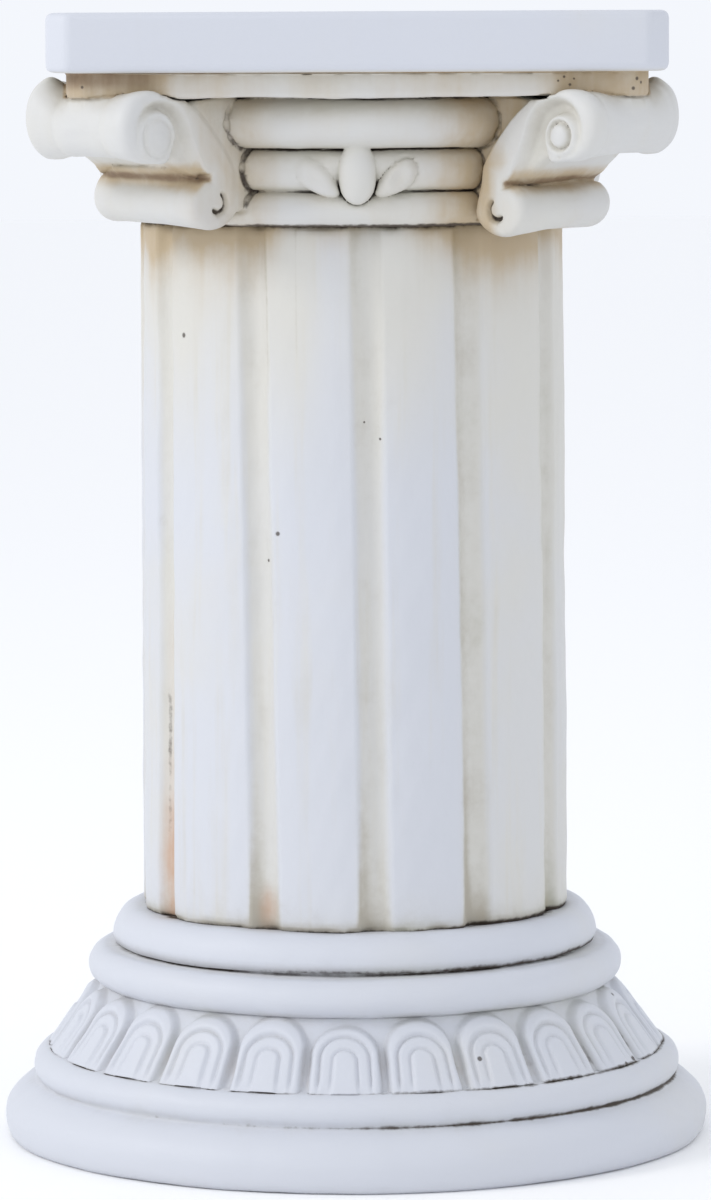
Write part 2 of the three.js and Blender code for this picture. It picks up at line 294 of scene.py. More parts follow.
class BaseSizes(bpy.types.PropertyGroup):
    foot_radius: length("Foot radius", "Radius of the foot at its widest", 189.0)
    ring_radius: length("Ring radius", "Radius of the round ring above the foot", 174.0)
    torus_radius: length("Torus radius", "Radius of the round moulding above the tongues", 143.6)
    collar_radius: length("Collar radius", "Radius of the collar that carries the shaft", 130.4)
    tongues: number("Tongues", "Tongues round the base", 24)


class ShaftSizes(bpy.types.PropertyGroup):
    foot_radius: length("Foot radius", "Radius of the shaft where it stands on the base", 114.2)
    head_radius: length("Head radius", "Radius of the shaft under the capital", 112.6)
    flute_depth: length("Flute depth", "Depth of a flute in its middle", 5.0)
    flutes: number("Flutes", "Flutes round the shaft", 12)


class CapitalSizes(bpy.types.PropertyGroup):
    slab_width: length("Slab width", "Width of the square slab on top", 316.0)
    scroll_width: length("Scroll width", "Length of a corner scroll from end to end", 76.8)
    grain: length("Carving grain", "Distance between the points that the carving is worked out from", 1.0)


class PaintColours(bpy.types.PropertyGroup):
    cool: colour("Cool white", "Clean paint", (0.615, 0.635, 0.690))
    warm: colour("Warm white", "Paint that has yellowed", (0.642, 0.630, 0.588))
    # On the shaft the grime and moss colours also paint shade on the flutes' left walls
    grime_and_shade: colour("Grime", "Dirt that settles in the hollows", (0.36, 0.32, 0.245))
    moss_and_shade: colour("Moss", "Greenish film in damp places", (0.36, 0.355, 0.26))
    # Black of the lines in joints and creases: dark dirt, and painted shade in the narrow creases
    crevice: colour("Crevice", "Black dirt in the deepest lines", (0.055, 0.040, 0.028))
    ochre: colour("Ochre", "Water stain under the capital", (0.47, 0.355, 0.205))
    brown: colour("Brown", "Dark stain between the rolls of the scrolls", (0.16, 0.09, 0.045))
    rust: colour("Rust", "Red brown stain that runs down a flute", (0.52, 0.30, 0.18))
    # Scales the dirt and the painted shade together
    dirt_and_shade: amount("Dirt", "How much dirt lies on the paint", 1.0, 1.0)


class StageSettings(bpy.types.PropertyGroup):
    floor: colour("Floor", "Colour of the floor", (0.99, 0.99, 0.99))
    sky: colour("Surroundings", "Colour of the light from all round", (0.925, 0.95, 1.0))
    key: amount("Key light", "Power of the main lamp in watts", 34.0, 500.0)
    fill: amount("Fill light", "Power of the second lamp in watts", 1.0, 500.0)
    distance: length("Camera distance", "From the camera to the column's axis, on the level", 3150.0)
    height: length("Camera height", "Height of the camera above the floor", 600.5)


# Drawing

def smooth(value, low, high):
    part = np.clip((value - low) / (high - low), 0, 1)
    return part * part * (3 - 2 * part)


def within(value, start, full, fade, end):
    """1 from full to fade, and 0 before start and after end."""
    return smooth(value, start, full) * smooth(value, end, fade)


def soft_max(first, second, width):
    """The larger of two distances, with the edge where they meet rounded over a width."""
    overlap = np.maximum(width - np.abs(first - second), 0) / width
    return np.maximum(first, second) + overlap * overlap * width / 4


def soft_min(first, second, width):
    return -soft_max(-first, -second, width)


def bell(value, width):
    return np.exp(-((value / width) ** 2))


def near(value, place):
    """1 at the middle of a place, given with its spread, and less away from it."""
    middle, spread = place
    return bell(value - middle, spread)


def wobble(points, wavelength, seed):
    """A slow random wave over points in space, mostly between -1 and 1."""
    chance = np.random.default_rng(seed)
    total = np.zeros(len(points))
    waves = 9
    for _ in range(waves):
        way = chance.normal(size=3)
        way *= 2 * math.pi / (wavelength * chance.uniform(0.7, 1.5) * np.linalg.norm(way))
        total += np.sin(points @ way + chance.uniform(0, 2 * math.pi))
    return total / math.sqrt(waves)


def ripple(turn, count, seed):
    """A random wave round a circle that meets itself, mostly between -1 and 1."""
    chance = np.random.default_rng(seed)
    total = np.zeros_like(turn)
    for step in range(1, count + 1):
        total += chance.normal() * np.sin(step * turn + chance.uniform(0, 2 * math.pi))
    return total / math.sqrt(count)


def on_bend(part, start, bend, end):
    """The place a part of the way along a curve from start to end that leans towards bend."""
    return (1 - part) ** 2 * start + 2 * part * (1 - part) * bend + part**2 * end


def bent_line(start, bend, end, steps):
    """Points on a curve from start to end that leans towards bend, without the first."""
    part = np.linspace(0, 1, steps + 1)[1:, None]
    return on_bend(part, *(np.array(p) for p in (start, bend, end)))


def oval_arc(centre, half_sizes, start, end, steps):
    angle = np.linspace(start, end, steps + 1)
    return np.stack([centre[0] + half_sizes[0] * np.cos(angle), centre[1] + half_sizes[1] * np.sin(angle)], 1)


def half_round(moulding, steps):
    radius, bulge, bottom, top = moulding
    middle = (bottom + top) / 2
    return oval_arc((radius - bulge, middle), (bulge, (top - bottom) / 2), -math.pi / 2, math.pi / 2, steps)


def outline_distance(outline, x, z):
    """Distance from points to a closed outline, negative inside it."""
    nearest = np.full(np.broadcast(x, z).shape, 1e9)
    inside = np.zeros(nearest.shape, bool)
    for (ax, az), (bx, bz) in zip(outline, np.roll(outline, -1, axis=0)):
        wide, high = bx - ax, bz - az
        size = wide * wide + high * high
        if size < 1e-12:
            continue
        along = np.clip(((x - ax) * wide + (z - az) * high) / size, 0, 1)
        nearest = np.minimum(nearest, (x - ax - along * wide) ** 2 + (z - az - along * high) ** 2)
        if abs(high) > 1e-12:
            inside ^= ((az > z) != (bz > z)) & (x < ax + (z - az) * wide / high)
    return np.where(inside, -1, 1) * np.sqrt(nearest)


class Chart:
    """Values on a flat grid, read anywhere between its points."""

    def __init__(self, low, high, step):
        self.low = low
        self.step = step
        self.x = np.arange(low[0], high[0] + step, step)[:, None]
        self.z = np.arange(low[1], high[1] + step, step)[None, :]
        self.values = None

    def at(self, x, z):
        across = np.clip((x - self.low[0]) / self.step, 0, self.values.shape[0] - 1.001)
        up = np.clip((z - self.low[1]) / self.step, 0, self.values.shape[1] - 1.001)
        i, k = across.astype(int), up.astype(int)
        right, above = across - i, up - k
        low = self.values[i, k] * (1 - right) + self.values[i + 1, k] * right
        high = self.values[i, k + 1] * (1 - right) + self.values[i + 1, k + 1] * right
        return low * (1 - above) + high * above


# Meshes

def mesh_of(name, points, face_groups):
    """A mesh from points in millimetres and groups of faces that each have the same number of corners."""
    mesh = bpy.data.meshes.new(name)
    corners = np.concatenate([np.asarray(group).ravel() for group in face_groups])
    counts = np.concatenate([np.full(len(group), np.asarray(group).shape[1]) for group in face_groups])
    starts = np.concatenate([[0], np.cumsum(counts)[:-1]])
    mesh.vertices.add(len(points))
    mesh.vertices.foreach_set("co", (points * MM).astype(np.float32).ravel())
    mesh.loops.add(len(corners))
    mesh.loops.foreach_set("vertex_index", corners.astype(np.int32))
    mesh.polygons.add(len(counts))
    mesh.polygons.foreach_set("loop_start", starts.astype(np.int32))
    mesh.update(calc_edges=True)
    mesh.validate()
    mesh.shade_smooth()
    return mesh


def stack_rings(rings):
    """Points and faces of a closed stack of rings, from the lowest. A ring may be a multiple of the next."""
    groups = []
    first = 0
    for lower, upper in zip(rings, rings[1:]):
        low_count, high_count = len(lower), len(upper)
        second = first + low_count
        coarse = min(low_count, high_count)
        low_factor, high_factor = low_count // coarse, high_count // coarse
        index = np.arange(coarse)[:, None]
        low_side = first + (index * low_factor + np.arange(low_factor + 1)) % low_count
        high_side = second + (index * high_factor + np.arange(high_factor + 1)) % high_count
        groups.append(np.hstack([low_side, high_side[:, ::-1]]))
        first = second
    groups.append(np.arange(len(rings[0]))[::-1][None, :])
    groups.append(first + np.arange(len(rings[-1]))[None, :])
    return np.concatenate(rings), groups


def ring(turn, radius, z):
    radius = np.broadcast_to(radius, turn.shape)
    z = np.broadcast_to(z, turn.shape)
    return np.stack([radius * np.sin(turn), -radius * np.cos(turn), z], 1)


def full_turn(columns):
    return np.arange(columns) * (2 * math.pi / columns)


def surface_of(field, start, step):
    """Points and four-cornered faces where a field on a grid is nought, facing its positive side."""
    inside = field < 0
    cells = np.array(field.shape) - 1
    corner_steps = [(i, j, k) for i in (0, 1) for j in (0, 1) for k in (0, 1)]
    filled = np.zeros(cells, np.int8)
    for i, j, k in corner_steps:
        filled += inside[i : cells[0] + i, j : cells[1] + j, k : cells[2] + k]
    mixed = (filled > 0) & (filled < len(corner_steps))
    number = np.full(cells, -1, np.int32)
    number[mixed] = np.arange(np.count_nonzero(mixed))
    place = np.argwhere(mixed)
    total = np.zeros((len(place), 3))
    hits = np.zeros(len(place))
    for low in corner_steps:
        for axis in range(3):
            if low[axis]:
                continue
            high = np.array(low)
            high[axis] = 1
            first = field[tuple((place + low).T)].astype(float)
            second = field[tuple((place + high).T)].astype(float)
            crossed = (first < 0) != (second < 0)
            part = np.where(crossed, first / np.where(crossed, first - second, 1), 0)
            total += crossed[:, None] * (np.array(low) + part[:, None] * (high - low))
            hits += crossed
    points = np.array(start) + step * (place + total / hits[:, None])
    faces = []
    for axis in range(3):
        low = np.take(inside, range(cells[axis]), axis)
        high = np.take(inside, range(1, cells[axis] + 1), axis)
        edge = np.argwhere(low != high)
        leaving = low[tuple(edge.T)]
        quad = []
        for second_step, third_step in ((-1, -1), (0, -1), (0, 0), (-1, 0)):
            cell = edge.copy()
            cell[:, (axis + 1) % 3] += second_step
            cell[:, (axis + 2) % 3] += third_step
            quad.append(number[tuple(cell.T)])
        quad = np.stack(quad, 1)
        faces.append(np.where(leaving[:, None], quad, quad[:, ::-1]))
    return points, np.concatenate(faces)


def plain_patch(points, faces, axis, level, centre, half):
    """Faces, and one large flat face in place of the small ones in the middle of a flat side."""
    beside = points[:, [(axis + 1) % 3, (axis + 2) % 3]] - centre
    flat = (np.abs(points[:, axis] - level) < 0.6) & (np.abs(beside) < half).all(axis=1)
    gone = flat[faces].all(axis=1)
    shared = np.zeros(len(points), bool)
    shared[faces[~gone].ravel()] = True
    within = np.zeros(len(points), bool)
    within[faces[gone].ravel()] = True
    rim = np.flatnonzero(flat & shared & within)
    loop = rim[np.argsort(np.arctan2(beside[rim, 1], beside[rim, 0]))]
    outward = level > points[:, axis].mean()
    return faces[~gone], (loop if outward else loop[::-1])[None, :]


def largest_shell(points, faces):
    """The faces of the largest connected surface, without closed bubbles left inside the carving."""
    label = np.arange(len(points))
    changed = True
    while changed:
        lowest = label[faces].min(axis=1)
        nearer = label.copy()
        for corner in faces.T:
            np.minimum.at(nearer, corner, lowest)
        nearer = nearer[nearer]
        changed = (nearer != label).any()
        label = nearer
    shell = label[faces[:, 0]]
    return faces[shell == np.bincount(shell).argmax()]


def without_loose(points, groups):
    """Points and faces with the points that no face uses left out."""
    used = np.zeros(len(points), bool)
    for group in groups:
        used[np.asarray(group).ravel()] = True
    renumber = np.cumsum(used) - 1
    return points[used], [renumber[np.asarray(group)] for group in groups]


def thinned(mesh, triangles, kept):
    """A copy of a mesh with about so many triangles, fewer where it is plain, but with the kept points."""
    mesh.calc_loop_triangles()
    holder = bpy.data.objects.new("holder", mesh)
    bpy.context.scene.collection.objects.link(holder)
    loose = holder.vertex_groups.new(name="loose")
    loose.add(list(range(len(mesh.vertices))), 1.0, "REPLACE")
    loose.add(kept.tolist(), 0.0, "REPLACE")
    thin = holder.modifiers.new("thin", "DECIMATE")
    thin.ratio = min(1, triangles / len(mesh.loop_triangles))
    thin.vertex_group = loose.name
    graph = bpy.context.evaluated_depsgraph_get()
    result = bpy.data.meshes.new_from_object(holder.evaluated_get(graph), depsgraph=graph)
    bpy.data.objects.remove(holder)
    bpy.data.meshes.remove(mesh)
    result.validate()
    result.shade_smooth()
    return result


def coordinates(mesh, kind="co"):
    values = np.zeros(len(mesh.vertices) * 3, np.float32)
    if kind == "normal":
        mesh.vertex_normals.foreach_get("vector", values)
    else:
        mesh.vertices.foreach_get(kind, values)
    return values.reshape(-1, 3).astype(float)


def move_points(mesh, points):
    mesh.vertices.foreach_set("co", points.astype(np.float32).ravel())
    mesh.update()


def roughen(mesh, amounts, seed, part=1.0):
    """Moves a mesh in and out by slow waves, each given as a wavelength and a height in millimetres."""
    points = coordinates(mesh)
    push = sum(height * wobble(points / MM, wave, seed + i) for i, (wave, height) in enumerate(amounts))
    move_points(mesh, points + coordinates(mesh, "normal") * (part * push * MM)[:, None])


def neighbour_mean(mesh, values, rounds):
    """Values of points averaged with those of the points that edges join them to."""
    ends = np.zeros(len(mesh.edges) * 2, np.int32)
    mesh.edges.foreach_get("vertices", ends)
    ends = ends.reshape(-1, 2)
    count = np.bincount(ends.ravel(), minlength=len(values))
    for _ in range(rounds):
        total = np.bincount(ends[:, 0], values[ends[:, 1]], len(values))
        total += np.bincount(ends[:, 1], values[ends[:, 0]], len(values))
        values = 0.5 * values + 0.5 * total / np.maximum(count, 1)
    return values


def set_layers(mesh, **layers):
    for name, values in layers.items():
        layer = mesh.attributes.new(name, "FLOAT", "POINT")
        layer.data.foreach_set("value", np.asarray(values, np.float32))


def half_ball(count):
    """Directions spread over the upper half of a ball, closer together round its top."""
    step = np.arange(count) + 0.5
    height = np.sqrt(1 - step / count)
    turn = step * math.pi * (3 - math.sqrt(5))
    flat = np.sqrt(1 - height * height)
    return np.stack([flat * np.cos(turn), flat * np.sin(turn), height], 1)


def shelter(mesh, neighbours, dust_and_shade=0.0, clean=0.0):
    """Writes how sheltered points are: hollow by what is near, plus the given dust and painted shade; crevice
    by what nearly touches, which the paint draws as dark lines of dirt and painted shade.
    """
    reach, close, lift = 32 * MM, 4.5 * MM, 0.25 * MM
    rays = 20
    points, normals = coordinates(mesh), coordinates(mesh, "normal")
    corners = [tuple(p) for p in points]
    polygons = [tuple(p.vertices) for p in mesh.polygons]
    for name in neighbours:
        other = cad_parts[name].data
        first = len(corners)
        corners += [tuple(v.co) for v in other.vertices]
        polygons += [tuple(first + i for i in p.vertices) for p in other.polygons]
    tree = BVHTree.FromPolygons(corners, polygons)
    upright = np.abs(normals[:, 2:3]) > 0.9
    helper = np.where(upright, [[1.0, 0.0, 0.0]], [[0.0, 0.0, 1.0]])
    side = np.cross(helper, normals)
    side /= np.linalg.norm(side, axis=1, keepdims=True) + 1e-9
    across = np.cross(normals, side)
    ways = half_ball(rays)
    starts = points + normals * lift
    cast = tree.ray_cast
    gaps = np.full((rays, len(points)), reach)
    for found, (a, b, c) in zip(gaps, ways):
        directions = a * side + b * across + c * normals
        for k, (start, way) in enumerate(zip(starts.tolist(), directions.tolist())):
            gap = cast(start, way, reach)[3]
            if gap is not None:
                found[k] = gap
    hollow = (1 - gaps / reach).mean(axis=0)
    crevice = (1 - np.minimum(gaps / close, 1)).mean(axis=0)
    hollow = neighbour_mean(mesh, hollow, 2) + dust_and_shade
    set_layers(mesh, hollow=hollow, crevice=neighbour_mean(mesh, crevice, 1) * (1 - clean))
    return hollow


def turn_and_height(mesh):
    points = coordinates(mesh) / MM
    return np.arctan2(points[:, 0], -points[:, 1]), points[:, 2], points


def spot_places(points, spots):
    """The points of a round piece's mesh that are nearest to spots, with the spots' widths."""
    turn, radius = np.arctan2(points[:, 0], -points[:, 1]), np.hypot(points[:, 0], points[:, 1])
    places = []
    for angle, level, width in spots:
        away = (turn - math.radians(angle)) * radius
        places.append((points[np.hypot(away, points[:, 2] - level).argmin()], width))
    return places


def place_piece(name, mesh, material):
    piece = bpy.data.objects.new(name + "_finish", mesh)
    bpy.context.scene.collection.objects.link(piece)
    mesh.materials.append(material)
    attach(piece, "root")
    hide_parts(name)
    return piece


# Base

def arch_distance(across, along, arch):
    """Distance to an arch with a round head, given by half widths at its foot and head, and its top."""
    foot, head, top = arch
    spring = top - head
    side = np.abs(across) - (foot + (head - foot) * np.clip(along / spring, 0, 1))
    crown = np.hypot(across, along - spring) - head
    return np.where(along > spring, crown, side)


def tongue_ring(turn, along, tongues):
    """A ring of the band at a distance up the slope, with the tongues and the arches drawn on them."""
    pitch = 2 * math.pi / tongues
    order = np.round((turn - math.radians(TONGUE_TURN)) / pitch)
    chance = np.random.default_rng(41)
    stretch = chance.normal(0, TONGUE_DRIFT / 2, tongues)
    lean = chance.normal(0, 0.5, tongues)
    which = order.astype(int) % tongues
    for key, change in SHORT_TONGUES.items():
        stretch[key % tongues] = change
    face_radius = TONGUE_FOOT[0] - along * math.sin(TONGUE_LEAN)
    face_z = TONGUE_FOOT[1] + along * math.cos(TONGUE_LEAN)
    across = (turn - math.radians(TONGUE_TURN) - order * pitch) * face_radius
    across = across + lean[which] * (along / TONGUE_LENGTH - 0.4)
    foot, head, top = TONGUE_OUTLINE
    outline = arch_distance(across, along, (foot, head, top + stretch[which]))
    raised = smooth(-outline, -0.5, TONGUE_EDGE)
    drawn = smooth(along, 0.5, 9)
    groove = arch_distance(across, along, TONGUE_GROOVE)
    inner = arch_distance(across, along, TONGUE_INNER)
    crown = TONGUE_CROWN * smooth(-outline, 0, 7)
    relief = crown - GROOVE_DEPTH * bell(groove, 1.25) * (0.35 + 0.65 * drawn)
    relief -= 1.3 * bell(inner, 1.0) * drawn
    relief -= 0.9 * smooth(-groove, 0, 3) * (1 - smooth(-inner, -1, 1.5))
    part = along / TONGUE_LENGTH
    hollow_radius, hollow_z = (on_bend(part, *ends) for ends in zip(BAND_BOTTOM, BAND_HOLLOW, BAND_TOP))
    radius = face_radius - TONGUE_CROWN + relief * math.cos(TONGUE_LEAN)
    z = face_z + (relief - TONGUE_CROWN) * math.sin(TONGUE_LEAN)
    return ring(turn, hollow_radius + (radius - hollow_radius) * raised, hollow_z + (z - hollow_z) * raised)


def base_rings(sizes):
    foot, ring_radius = sizes.foot_radius / MM, sizes.ring_radius / MM
    torus, collar = sizes.torus_radius / MM, sizes.collar_radius / MM
    ring_centre = (ring_radius - RING_BULGE, RING_MIDDLE)
    round_ring = oval_arc(ring_centre, (RING_BULGE, RING_HALF_HEIGHT), RING_START, math.pi / 2, 15)
    edge = (foot, FOOT_EDGE_HEIGHT)
    lower = np.concatenate(
        [
            [(foot - FOOT_EDGE_INSET - FLAT_EDGE, 0), (foot - FOOT_EDGE_INSET, 0)],
            bent_line((foot - FOOT_EDGE_INSET, 0), (foot, 0), edge, 7),
            bent_line(edge, FOOT_SHOULDER, round_ring[0], 11),
            round_ring[1:],
        ]
    )
    bulge = half_round((torus, TORUS_BULGE, BAND_TOP[1], TORUS_TOP), 16)
    collar_size = (collar - COLLAR_SEAT, BASE_TOP - COLLAR_WIDEST)
    upper = np.concatenate(
        [
            bulge,
            [(COLLAR_LIP + out, TORUS_TOP + up) for out, up in COLLAR_JOINT],
            oval_arc((COLLAR_SEAT, COLLAR_WIDEST), collar_size, 0, math.pi / 2, 11),
            [(COLLAR_SEAT - 2, BASE_TOP), (COLLAR_SEAT - FLAT_EDGE, BASE_TOP)],
        ]
    )
    plain = full_turn(BASE_COLUMNS)
    fine = full_turn(BASE_COLUMNS * BAND_FACTOR)
    rings = [ring(plain, radius, z) for radius, z in lower]
    for along in np.linspace(0.3, TONGUE_LENGTH, BAND_ROWS):
        rings.append(tongue_ring(fine, along, sizes.tongues))
    rings += [ring(plain, radius, z) for radius, z in upper]
    return rings


def weather_base(mesh):
    """Writes the layers that the base's paint reads, and gives its points."""
    turn, z, points = turn_and_height(mesh)
    radius = np.hypot(points[:, 0], points[:, 1])
    under_torus = bell(np.hypot(radius - BAND_TOP[0], z - BAND_TOP[1]), 4.0)
    hollow = shelter(mesh, ["shaft"], clean=0.7 * under_torus)
    right = 0.5 + 0.5 * np.sin(turn)
    # Gaps between the tongues: dirt, and painted shade that grows to the right
    band = within(z, *BAND_DIRT_AND_SHADE) * smooth(hollow, 0.22, 0.42)
    lines = 0.8 * smooth(radius, 117, 112) * smooth(z, BASE_TOP - 1.5, BASE_TOP - 0.5)
    # Black lines in the creases: dirt, and painted shade that is heavier on the right
    for line_radius, line_z, width, left_strength, right_strength in BASE_LINES:
        strength = left_strength + (right_strength - left_strength) * right
        lines += bell(np.hypot(radius - line_radius, z - line_z), width) * strength
    splash = smooth(z, SPLASH_HEIGHT, 0)
    set_layers(
        mesh,
        joint=lines + 0.75 * band * right**2,
        warm=-0.9 * hollow,
        ochre=0.12 * splash + 0.1 * band,
        stain=0.2 * band,
    )
    return points


class COLUMN_OT_base(bpy.types.Operator):
    """Makes the round base with its mouldings and its band of tongues"""

    bl_idname = "column.base"
    bl_label = "Base"

    def execute(self, context):
        mesh = mesh_of("base_finish", *stack_rings(base_rings(context.scene.column_base)))
        roughen(mesh, [(70, 0.35), (22, 0.16)], 11)
        points = coordinates(mesh)
        points[:, 2] = np.maximum(points[:, 2], 0)
        move_points(mesh, points)
        spots = spot_places(weather_base(mesh), BASE_SPOTS)
        colours = context.scene.column_paint
        paint = painted_stone("painted_base", colours, colours.rust, streaks=0.1, grime_and_shade=0.38, holes=spots)
        place_piece("base", mesh, paint)
        return {"FINISHED"}


# Shaft

def flute_centres(height, flutes):
    """Angle of each flute at a height from 0 to 1."""
    chance = np.random.default_rng(7)
    middles = []
    for i in range(flutes):
        key = i if i <= flutes // 2 else i - flutes
        low, high = FLUTE_DRIFT.get(key, tuple(chance.uniform(-1.5, 1.5, 2)))
        middles.append(FLUTE_TURN + key * 360 / flutes + low + (high - low) * height)
    return np.radians(middles)


def from_flute(turn, height, flutes):
    """Signed angle from the nearest flute, in half widths of it."""
    away = turn[:, None] - flute_centres(height, flutes)[None, :]
    away = (away + math.pi) % (2 * math.pi) - math.pi
    nearest = np.abs(away).argmin(axis=1)
    return away[np.arange(len(turn)), nearest] / math.radians(FLUTE_HALF_ANGLE)


def shaft_ring(turn, z, sizes):
    height = (z - BASE_TOP) / (SHAFT_TOP - BASE_TOP)
    across = from_flute(turn, height, sizes.flutes)
    radius = (sizes.foot_radius + (sizes.head_radius - sizes.foot_radius) * height) / MM
    cut = sizes.flute_depth / MM * (1 - across * across)
    cut = soft_max(cut, np.full_like(cut, -0.25), 1.4)
    sag = 0.45 * smooth(np.abs(across), 1.0, 2.2)
    from_end = min(z - BASE_TOP, SHAFT_TOP - z)
    ragged = 1.0 + 0.7 * ripple(turn, 46, 3 if height < 0.5 else 5)
    worn = np.maximum(ragged, 0.2) * (1 - smooth(from_end, 0.0, WORN_END))
    return ring(turn, radius - 0.45 - np.maximum(cut, 0) + sag - worn, z)


def shaft_mesh(sizes):
    """The fluted shaft with a slightly uneven surface."""
    turn = full_turn(SHAFT_COLUMNS)
    ends = np.array(END_ROWS)
    levels = [np.linspace(BASE_TOP, SHAFT_TOP, SHAFT_ROWS), BASE_TOP + ends, SHAFT_TOP - ends]
    rings = [shaft_ring(turn, z, sizes) for z in np.sort(np.concatenate(levels))]
    mesh = mesh_of("shaft_finish", *stack_rings(rings))
    points = coordinates(mesh)
    push = 0.35 * wobble(points / MM * [1, 1, 0.35], 40, 21)
    push = push + 0.14 * wobble(points / MM * [1, 1, 0.5], 13, 22)
    push *= within(points[:, 2] / MM, BASE_TOP, BASE_TOP + PLAIN_END, SHAFT_TOP - PLAIN_END, SHAFT_TOP)
    points[:, :2] *= 1 + (push / 113)[:, None]
    move_points(mesh, points)
    return mesh


def weather_shaft(mesh, flutes):
    """Writes the layers that the shaft's paint reads, and gives its points."""
    turn, z, points = turn_and_height(mesh)
    degrees = np.degrees(turn)
    rise, fall = z - BASE_TOP, SHAFT_TOP - z
    height = rise / (SHAFT_TOP - BASE_TOP)
    across = np.zeros(len(z))
    for level in np.unique(np.round(height, 4)):
        here = np.abs(height - level) < 0.00006
        across[here] = from_flute(turn[here], level, flutes)
    groove = smooth(np.abs(across), 1.0, 0.55)
    left_wall = bell(across + 0.7, 0.4)
    left_edge, right_edge = bell(across + 0.95, 0.12), bell(across - 0.95, 0.12)
    low, high = smooth(height, 0.3, 0.0), smooth(height, 0.84, 1.0)
    right = within(degrees, *RIGHT_SIDE)
    shaded = 0.05 + 0.95 * smooth(degrees, *SHADE_EDGE)
    # Painted shade on the flutes' left walls and in the grooves, chiefly right of the shade's edge, on the
    # right side and in one flute; also dust at the foot and along a crack
    dust_and_shade = left_wall * (0.34 * low * shaded + 0.14 * high + 0.12 * right + 0.36 * near(degrees, SHADED_FLUTE))
    dust_and_shade += groove * (0.09 * right + 0.12 * smooth(height, 0.12, 0.0) * shaded)
    dust_and_shade += left_edge * 0.3 * smooth(height, 0.16, 0.0) * shaded
    crack = np.maximum(right_edge * near(degrees, CRACKED_FLUTE), 0.7 * near(degrees, CRACK))
    dust_and_shade += 0.36 * crack * smooth(height, 0.72, 0.86) + 0.05 * smooth(height, 0.1, 0.0)
    dust_and_shade -= 0.14 * np.exp(-fall / 10)
    shelter(mesh, ["base", "capital"], dust_and_shade)
    outward = 0.35 + 1.1 * smooth(np.abs(np.sin(turn)), 0.25, 0.6)
    run = 0.85 + 0.22 * ripple(turn, 30, 9)
    splash = 0.25 + 0.2 * ripple(turn, 40, 10)
    ochre = (0.7 * np.exp(-fall / 8) + 0.6 * np.exp(-fall / 26)) * run * outward
    # The splash stain in the grooves is kept right of the shade's edge, so the side where the light falls
    # stays painted lighter
    ochre += np.exp(-rise / 26) * splash * (0.1 + 0.9 * groove * shaded)
    rusty = FLUTE_TURN + RUST_FLUTE * 360 / flutes + FLUTE_DRIFT[RUST_FLUTE][0]
    rust = near(degrees, (rusty, RUST_SPREAD)) * (0.28 * smooth(z, *RUST_RUN) + 0.9 * smooth(z, *RUST_FOOT))
    foot_stain = near(degrees, FOOT_STAIN) * near(z, FOOT_STAIN_LEVEL)
    specks = 0.62 * near(degrees, (rusty + SPECK_ASIDE, 1.1)) * within(z, *SPECK_LEVELS)
    # Dark joint lines at both ends, with painted shade making the one at the foot heavier on the right
    ends = (0.85 + 0.55 * right) * np.exp(-rise / 2.2) + 0.9 * np.exp(-fall / 2.0)
    warm = 0.2 + 0.7 * smooth(z, 330, 470) * (0.7 + 0.3 * ripple(turn, 20, 14))
    set_layers(
        mesh,
        joint=ends + specks,
        warm=warm + 0.4 * groove + 0.35 * smooth(degrees, 25, 45),
        ochre=np.clip(ochre, 0, 1),
        stain=np.clip(rust + 0.7 * foot_stain, 0, 1),
    )
    return points


class COLUMN_OT_shaft(bpy.types.Operator):
    """Makes the fluted shaft"""

    bl_idname = "column.shaft"
    bl_label = "Shaft"

    def execute(self, context):
        sizes = context.scene.column_shaft
        mesh = shaft_mesh(sizes)
        holes = spot_places(weather_shaft(mesh, sizes.flutes), SHAFT_HOLES)
        colours = context.scene.column_paint
        paint = painted_stone("painted_shaft", colours, colours.rust, streaks=0.9, grime_and_shade=1.0, holes=holes)
        place_piece("shaft", mesh, paint)
        return {"FINISHED"}


# Capital

def spine_line(lift):
    """The back edge of a scroll, from its shoulder down to its curl."""
    return bent_line(SPINE_SHOULDER, SPINE_BEND, (CURL[0] - CURL_BACK, CURL[1] + lift), 14)


def scroll_outline(lift):
    curl = (CURL[0], CURL[1] + lift)
    under = oval_arc(curl, (CURL_BACK, CURL_HALF_HEIGHT), math.pi, 1.5 * math.pi, 12)
    front = oval_arc(curl, (CURL_FRONT, CURL_HALF_HEIGHT), 1.5 * math.pi, 2.42 * math.pi, 26)
    corner = (NOTCH_CORNER[0], NOTCH_CORNER[1] + 0.6 * lift)
    volute = oval_arc(VOLUTE, VOLUTE_HALF, math.radians(-100), math.radians(126), 36)
    return np.concatenate(
        [under, front[1:], [corner, NOTCH_LIP], volute, [SPINE_SHOULDER], spine_line(lift)[:-1]]
    )


def canal_outline(lift, rim):
    """The sunk canal on a scroll's end, from its mouth above the curl up and round the eye."""
    angle = np.radians(np.linspace(-90, 190, 60))
    outer = CANAL_RADIUS * CANAL_FACTOR ** (angle / (math.pi / 2))
    mouth = [(x, z + follows * lift) for x, z, follows in CANAL_MOUTH]

    def round_eye(radius, turn):
        return np.stack([EYE[0] + radius * np.sin(turn), EYE[1] + radius * np.cos(turn)], 1)

    return np.concatenate([mouth, round_eye(outer, angle), round_eye(rim, angle[:-1])[::-1]])


def web_outline(lift):
    """The web that fills the space between a scroll's back edge and the mouldings."""
    edge = spine_line(lift) + [WEB_OVERLAP, 0]
    foot = CURL[1] + lift - 6
    return np.concatenate([edge, [(edge[-1, 0], foot), (100, foot), (100, WEB_TOP[1]), WEB_TOP]])


